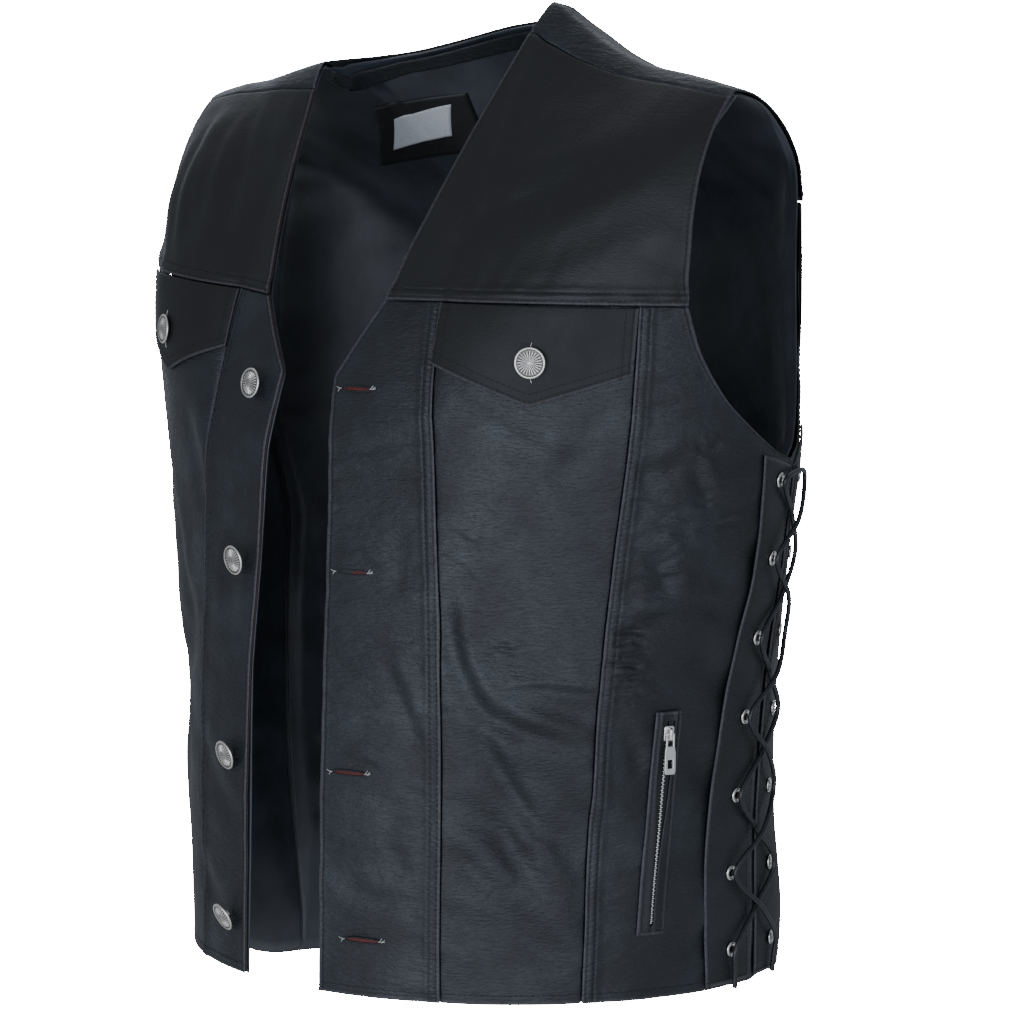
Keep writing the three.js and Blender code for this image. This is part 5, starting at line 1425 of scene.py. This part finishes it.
for side, sign in (("left", 1), ("right", -1)):
    mirrored = sign < 0
    weltTop, weltBottom = welt["top"][1], welt["bottom"][1]
    zs = np.concatenate([[weltTop, weltTop - 0.4, weltTop - 1.5, weltTop - 3, weltTop - 4.6, weltTop - 5.6],
                         np.linspace(weltTop - welt["slotEnd"], weltBottom + welt["slotEnd"], 80),
                         [weltBottom + 5.6, weltBottom + 4.6, weltBottom + 3, weltBottom + 1.5,
                          weltBottom + 0.4, weltBottom]])
    offsets = np.array([-10, -9.7, -9, -8.2, -7.2, -6.2, -5.4, -4.9, -4.6, 0, 4.6, 4.9, 5.4, 6.2, 7.2, 8.2,
                        9, 9.7, 10])
    z = zs[:, None] + 0 * offsets
    theta = weltTheta(z)
    # The slot is open round the slider and its lips close below it
    slotHalf = mix(1, 0.26, ease((weltTop - 40 - z) / 70)) * welt["slotHalfWidth"]
    size = np.abs(offsets) + 0 * z
    size = np.where(size <= welt["slotHalfWidth"], size / welt["slotHalfWidth"] * slotHalf,
                    slotHalf + (size - welt["slotHalfWidth"]) * (welt["halfWidth"]
                            - slotHalf) / (welt["halfWidth"] - welt["slotHalfWidth"]))
    theta = theta + np.sign(offsets) * size / mmPerTurn(theta, z)
    keep = np.ones((len(zs) - 1, len(offsets) - 1), bool)
    keep[np.ix_((zs[:-1] <= weltTop - 5.9) & (zs[1:] >= weltBottom + 5.9),
                (offsets[:-1] >= -4.6) & (offsets[1:] <= 4.6))] = False
    lips = 0.55 * bell(np.abs(offsets)[None, :], 5.4, 0.9) - 0.3 * bell(np.abs(offsets)[None, :], 7.6, 0.7)
    g = leatherGrid(theta, z, layers["stripLift"] + layers["welt"], layers["welt"],
                    freeSides, sign, 0.3, 110, lips + 0 * z,
                    hug=0.9)
    g["keep"] = keep
    leatherShell(f"zip_frame_{side}", f"zip_welt_{side}", finishes["stripLeather"], [g],
                 mirrored=mirrored)
    for edge in ("near", "far", "top", "bottom"):
        stitchAlong(f"stitching_strips_{side}", f"zip_frame_{side}", edge, 2.4)

    # Tape: two bands with a small gap, and teeth that mesh along it
    parts = []
    for half in (-1, 1):
        tapeZ = np.linspace(weltTop - 4, weltBottom + 4, 60)
        tapeX = np.array([0.5, 1.2, 2.4, 3.6, 5.4])
        zz = tapeZ[:, None] + 0 * tapeX
        th = weltTheta(zz)
        th = (th + half * tapeX / mmPerTurn(th, zz)) * sign
        grid = {"plain": bare(th, zz), "outer": onForm(th, zz, 1.2), "inner": onForm(th, zz, 0.7)}
        points, faces = closedSheet(grid)
        if half * sign < 0:
            faces = [f[:, ::-1] for f in faces]
        parts.append((points, faces))
    tape = addObject(f"zip_tape_{side}", *joined(parts), finishes["tape"])
    faceOutward(tape)
    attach(tape, "vest")
    parts = []
    for i, toothZ in enumerate(np.arange(weltTop - welt["slotEnd"] - 13, weltBottom + welt["slotEnd"] + 1,
                                         -1.25)):
        half = 1 if i % 2 else -1
        th = float(weltTheta(toothZ))
        th = (th + half * 0.25 / float(mmPerTurn(th, toothZ))) * sign
        tooth, faces = roundedBlock((2.0, 1.3, 0.8), (0, 0.2, 0), 0.5, 5, 8)
        parts.append((placed(tooth, seatOn(th, toothZ, 1.5)), faces))
    teeth = addObject(f"zip_teeth_{side}", *joined(parts), finishes["nickel"])
    faceOutward(teeth)
    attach(teeth, "vest")

    # Slider with its bridge, and the pull that swings on it
    z = weltTop - welt["slotEnd"] - welt["sliderDrop"]
    seat = seatOn(sign * float(weltTheta(z)), z, layers["stripLift"])
    top = slider["thickness"] + bridge["room"] + bridge["bar"] / 2
    arch = np.radians(np.linspace(0, 90, 7))
    legs = [(slider["thickness"] - 0.4, -bridge["reach"])] + [(slider["thickness"] + 0.6
            + (top - slider["thickness"] - 0.6) * math.sin(a), -bridge["reach"] + 1.3 * (1 - math.cos(a)))
            for a in arch]
    path = legs + [(h, -l) for h, l in legs[::-1]]
    body = roundedBlock((slider["width"], slider["thickness"], slider["height"]),
                        (0, slider["thickness"] / 2, 0), 0.3, 16, 28)
    obj = addObject(f"zip_slider_body_{side}", *joined([(placed(p, seat), f) for p,
                                                        f in (body,
                                                                strapAlong(path, bridge["width"],
                                                                        bridge["bar"]))]),
                                                                        finishes["nickel"])
    faceOutward(obj)
    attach(obj, "vest")
    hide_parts(f"zip_slider_{side}")
    axes, origin = seat
    pin = origin + axes[1] * (slider["thickness"] + bridge["room"] / 2)
    along = axes[0] / np.linalg.norm(axes[0])
    hang = np.array([0, 0, -1.0])
    hang = unit(hang - along * hang.dot(along))
    points, faces = pullParts()
    obj = addObject(f"zip_pull_tab_{side}", placed(points,
                                                   (np.array([along, np.cross(hang, along), hang]), pin)),
                                                   faces, finishes["nickel"], smooth=False)
    faceOutward(obj)
    bevel = obj.modifiers.new("softEdges", "BEVEL")
    bevel.width, bevel.segments, bevel.limit_method = 0.00025, 2, "ANGLE"
    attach(obj, f"pull_{side}")
    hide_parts(f"zip_pull_{side}")
print("zips made")

# Stitches: short capsules laid end to end along each row, half sunk in their groove
stitch = {"pitch": 3.6, "length": 2.7, "radius": 0.3, "sides": 5}


def stitchMesh(rows):
    centres, forwards, normals = [], [], []
    for points, outs in rows:
        reach = np.concatenate([[0], np.cumsum(np.linalg.norm(np.diff(points, axis=0), axis=1))])
        at = np.arange(stitch["pitch"] / 2, reach[-1], stitch["pitch"])
        sample = lambda where, values: np.stack([np.interp(where, reach, values[:, k]) for k in range(3)],
                                                -1)
        start, end = sample(at - stitch["length"] / 2, points), sample(at + stitch["length"] / 2, points)
        centres.append((start + end) / 2)
        forwards.append(end - start)
        normals.append(sample(at, outs))
    centre, forward, normal = np.vstack(centres), unit(np.vstack(forwards)), unit(np.vstack(normals))
    side = unit(np.cross(forward, normal))
    normal = np.cross(side, forward)
    turn = np.linspace(0, 2 * np.pi, stitch["sides"], endpoint=False)
    lengths = np.array([-0.5, -0.36, 0.36, 0.5]) * stitch["length"]
    radii = np.array([0.35, 1, 1, 0.35]) * stitch["radius"]
    local = np.stack([np.repeat(lengths, len(turn)), np.outer(radii, np.cos(turn)).ravel(),
                      np.outer(radii, np.sin(turn)).ravel()], -1)
    points = (centre[:, None] + normal[:, None] * 0.12 + forward[:, None] * local[None, :, :1]
              + side[:, None] * local[None, :, 1:2]
              + normal[:, None] * local[None, :, 2:]).reshape(-1, 3)
    count = len(local)
    starts = (np.arange(len(centre)) * count)[:, None, None]
    quads = (quadsOf(4, len(turn), wrap=True)[None] + starts).reshape(-1, 4)
    caps = (np.stack([np.arange(len(turn))[::-1], 3 * len(turn) + np.arange(len(turn))])[None]
            + starts).reshape(-1, len(turn))
    return points, [quads, caps]


for group in dict.fromkeys(row[0] for row in stitchRows):
    points, faces = stitchMesh([(p, n) for name, p, n in stitchRows if name == group])
    obj = addObject(group, points, faces, finishes["thread"])
    faceOutward(obj)
    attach(obj, "vest")
    print(f"{group}: {len(faces[1]) // 2} stitches")

# Buttonholes on the wearer's left front: an oxblood slit between two leather lips, with frayed
# pale thread at its ends
buttonholes = [(25, 60, -241), (30, 61, -358), (32, 64, -487), (44, 73, -595)]
slits, lipTubes, threads = [], [], []
for start, end, z in buttonholes:
    middle, half = (start + end) / 2, 12
    u = np.linspace(-1, 1, 25)
    bow = np.sqrt(np.clip(1 - u**2, 0, 1))
    lens = []
    for rise in (-1.3, -0.6, 0, 0.6, 1.3):
        zz = z + rise * bow
        lens.append(onForm(thetaAt(middle + u * half, z), zz, 0.35 + 0.1 * bow))
    grid = {"plain": np.array(lens)[::-1] + np.arange(5)[:, None, None] * 1e-3,
            "outer": np.array(lens)[::-1], "inner": np.array(lens)[::-1]
            - facing(thetaAt(middle, z), z)[0] * 0.4}
    slits.append(closedSheet(grid))
    for rise in (-1, 1):
        route = onForm(thetaAt(middle + u * (half + 1), z), z + rise * 1.6 * bow, 0.45)
        lipTubes.append(tubeAlong(route, circle(8, 0.55)))
    for i, (x, dx, dz) in enumerate(((-half - 1, -3.4, 0.9), (-half, -2.6, -2.2), (half + 1, 2.6, 0.8),
                                     (half, 3.2, 1.8), (half - 1, 2.4, 2.6))):
        t = np.linspace(0, 1, 6)
        route = onForm(thetaAt(middle + x + dx * t, z), z + dz * t * t, 0.7 + 0.5 * np.sin(3 * t))
        threads.append(tubeAlong(route, circle(6, 0.24)))
for side, front in fronts.items():
    z = float(lines[side]["yokeSeamZ"](flapButton["theta"])) - flapButton["drop"]
    for rise in (1, -1):
        t = np.linspace(0, 1, 7)
        theta = front["sign"] * flapButton["theta"] + (t - 0.3) * 0.25
        route = onForm(theta, z + rise * (8.5 + 4 * t),
                       layers["flapLift"] + layers["flap"] + 0.6 + 0.3 * np.sin(t * 3))
        threads.append(tubeAlong(route, circle(6, 0.26)))
for name, parts, finish, slotName in (("buttonhole_slits", slits, "oxblood", "black_leather"),
                                      ("buttonhole_lips", lipTubes, "leather", "black_leather"),
                                      ("loose_threads", threads, "paleThread", "black_satin")):
    obj = addObject(name, *joined(parts), finishes[finish])
    faceOutward(obj)
    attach(obj, "vest")

# The cut edge of the turned leather shows as a thin oxblood line inside the fronts
edgeTubes = []
for side in ("left", "right"):
    for name, edge in ((f"placket_{side}", "near"), (f"front_yoke_panel_{side}", "near")):
        g = pieces[name]["grids"][0]
        route = (g["outer"][:, 0] + g["inner"][:, 0]) / 2
        sunk = unit(g["inner"][:, 3] - g["outer"][:, 3])
        route = route[::3] + sunk[::3] * 0.8
        edgeTubes.append(tubeAlong(route, circle(6, 0.5)))
obj = addObject("cut_edges", *joined(edgeTubes), finishes["cutEdge"])
faceOutward(obj)
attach(obj, "vest")

# Neck label: a black woven rectangle with a plain pale patch, left bare. Both are laid between
# four corners of theta and z on the lining, which lies flat under them.
labels = {
    "neck_label": {"top": ((193.8, -42), (209.5, -52)), "bottom": ((196, -80), (222, -92)), "lift": 0.2,
                   "finish": "label"},
    "neck_label_patch": {"top": ((197, -49.5), (207.5, -59)), "bottom": ((200, -70), (215, -80)),
                         "lift": 0.8,
                         "finish": "patch"},
}
for name, look in labels.items():
    across, down = np.linspace(0, 1, 24), np.linspace(0, 1, 18)
    theta, z = gridBetween(between(*look["top"]), between(*look["bottom"]),
                           between(look["top"][0], look["bottom"][0]),
                           between(look["top"][1], look["bottom"][1]), across, down, {})
    plain = bare(theta, z)
    sink = liningSinkAt(theta, z) + layers["satin"] + look["lift"]
    grid = {"plain": plain, "outer": layer(theta, z, -sink, 0 * z),
            "inner": layer(theta, z, -sink - 0.6, 0 * z)}
    obj = faceOutward(addObject(name, *closedSheet(grid), finishes[look["finish"]]))
    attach(obj, "vest")
print("details made")

# Floor, light and surroundings


def addStage():
    turn = np.linspace(0, 2 * np.pi, 64, endpoint=False)
    points = np.stack([2300 * np.cos(turn), 2300 * np.sin(turn), 0 * turn - 1450], -1)
    floor = addObject("paleFloor", points, [np.arange(64)[None]], None, smooth=False)
    material, _, shader = startMaterial("palePaintedFloor")
    setSockets(shader, {"Base Color": linear("#e9e9e7"), "Roughness": 0.8})
    floor.data.materials.append(material)


def addSoftLight(name, place, target, size, power, colour):
    data = bpy.data.lights.new(name, "AREA")
    data.shape, data.size, data.size_y = "RECTANGLE", size[0], size[1]
    data.energy, data.color = power, linear(colour)[:3]
    obj = bpy.data.objects.new(name, data)
    back = unit(np.array(place, float) - np.array(target, float))
    right = unit(np.cross([0, 0, 1.0], back))
    matrix = np.eye(4)
    matrix[:3] = np.column_stack([right, np.cross(back, right), back, place])
    obj.matrix_world = Matrix(matrix.tolist())
    bpy.context.scene.collection.objects.link(obj)


addStage()
middle = (0, 0, -0.35)
addSoftLight("keyFromFront", (0.9, -3.1, -0.5), middle, (2.8, 1.4), 62, "#e9f0ff")
addSoftLight("sideFill", (3.1, -1.5, -0.2), middle, (1.3, 1.8), 32, "#eaf0ff")
addSoftLight("topSoft", (-1.2, 1.7, 2.7), middle, (2.2, 2.2), 42, "#f4f7ff")
addSoftLight("backRim", (-2.4, 1.8, 0.6), middle, (1.4, 2.2), 22, "#eef2ff")

world = bpy.data.worlds.new("studio")
world.use_nodes = True
bpy.context.scene.world = world
tree = world.node_tree
output = tree.nodes["World Output"]
soft = tree.nodes["Background"]
setSockets(soft, {"Color": linear("#dfe6f0"), "Strength": 0.45})
white = addNode(tree, "ShaderNodeBackground", inputs={"Color": (1, 1, 1, 1), "Strength": 60})
path = addNode(tree, "ShaderNodeLightPath")
blend = addNode(tree, "ShaderNodeMixShader", links={0: path.outputs["Is Camera Ray"], 1: soft.outputs[0],
                                                    2: white.outputs[0]})
tree.links.new(blend.outputs[0], output.inputs["Surface"])

bpy.context.view_layer.update()
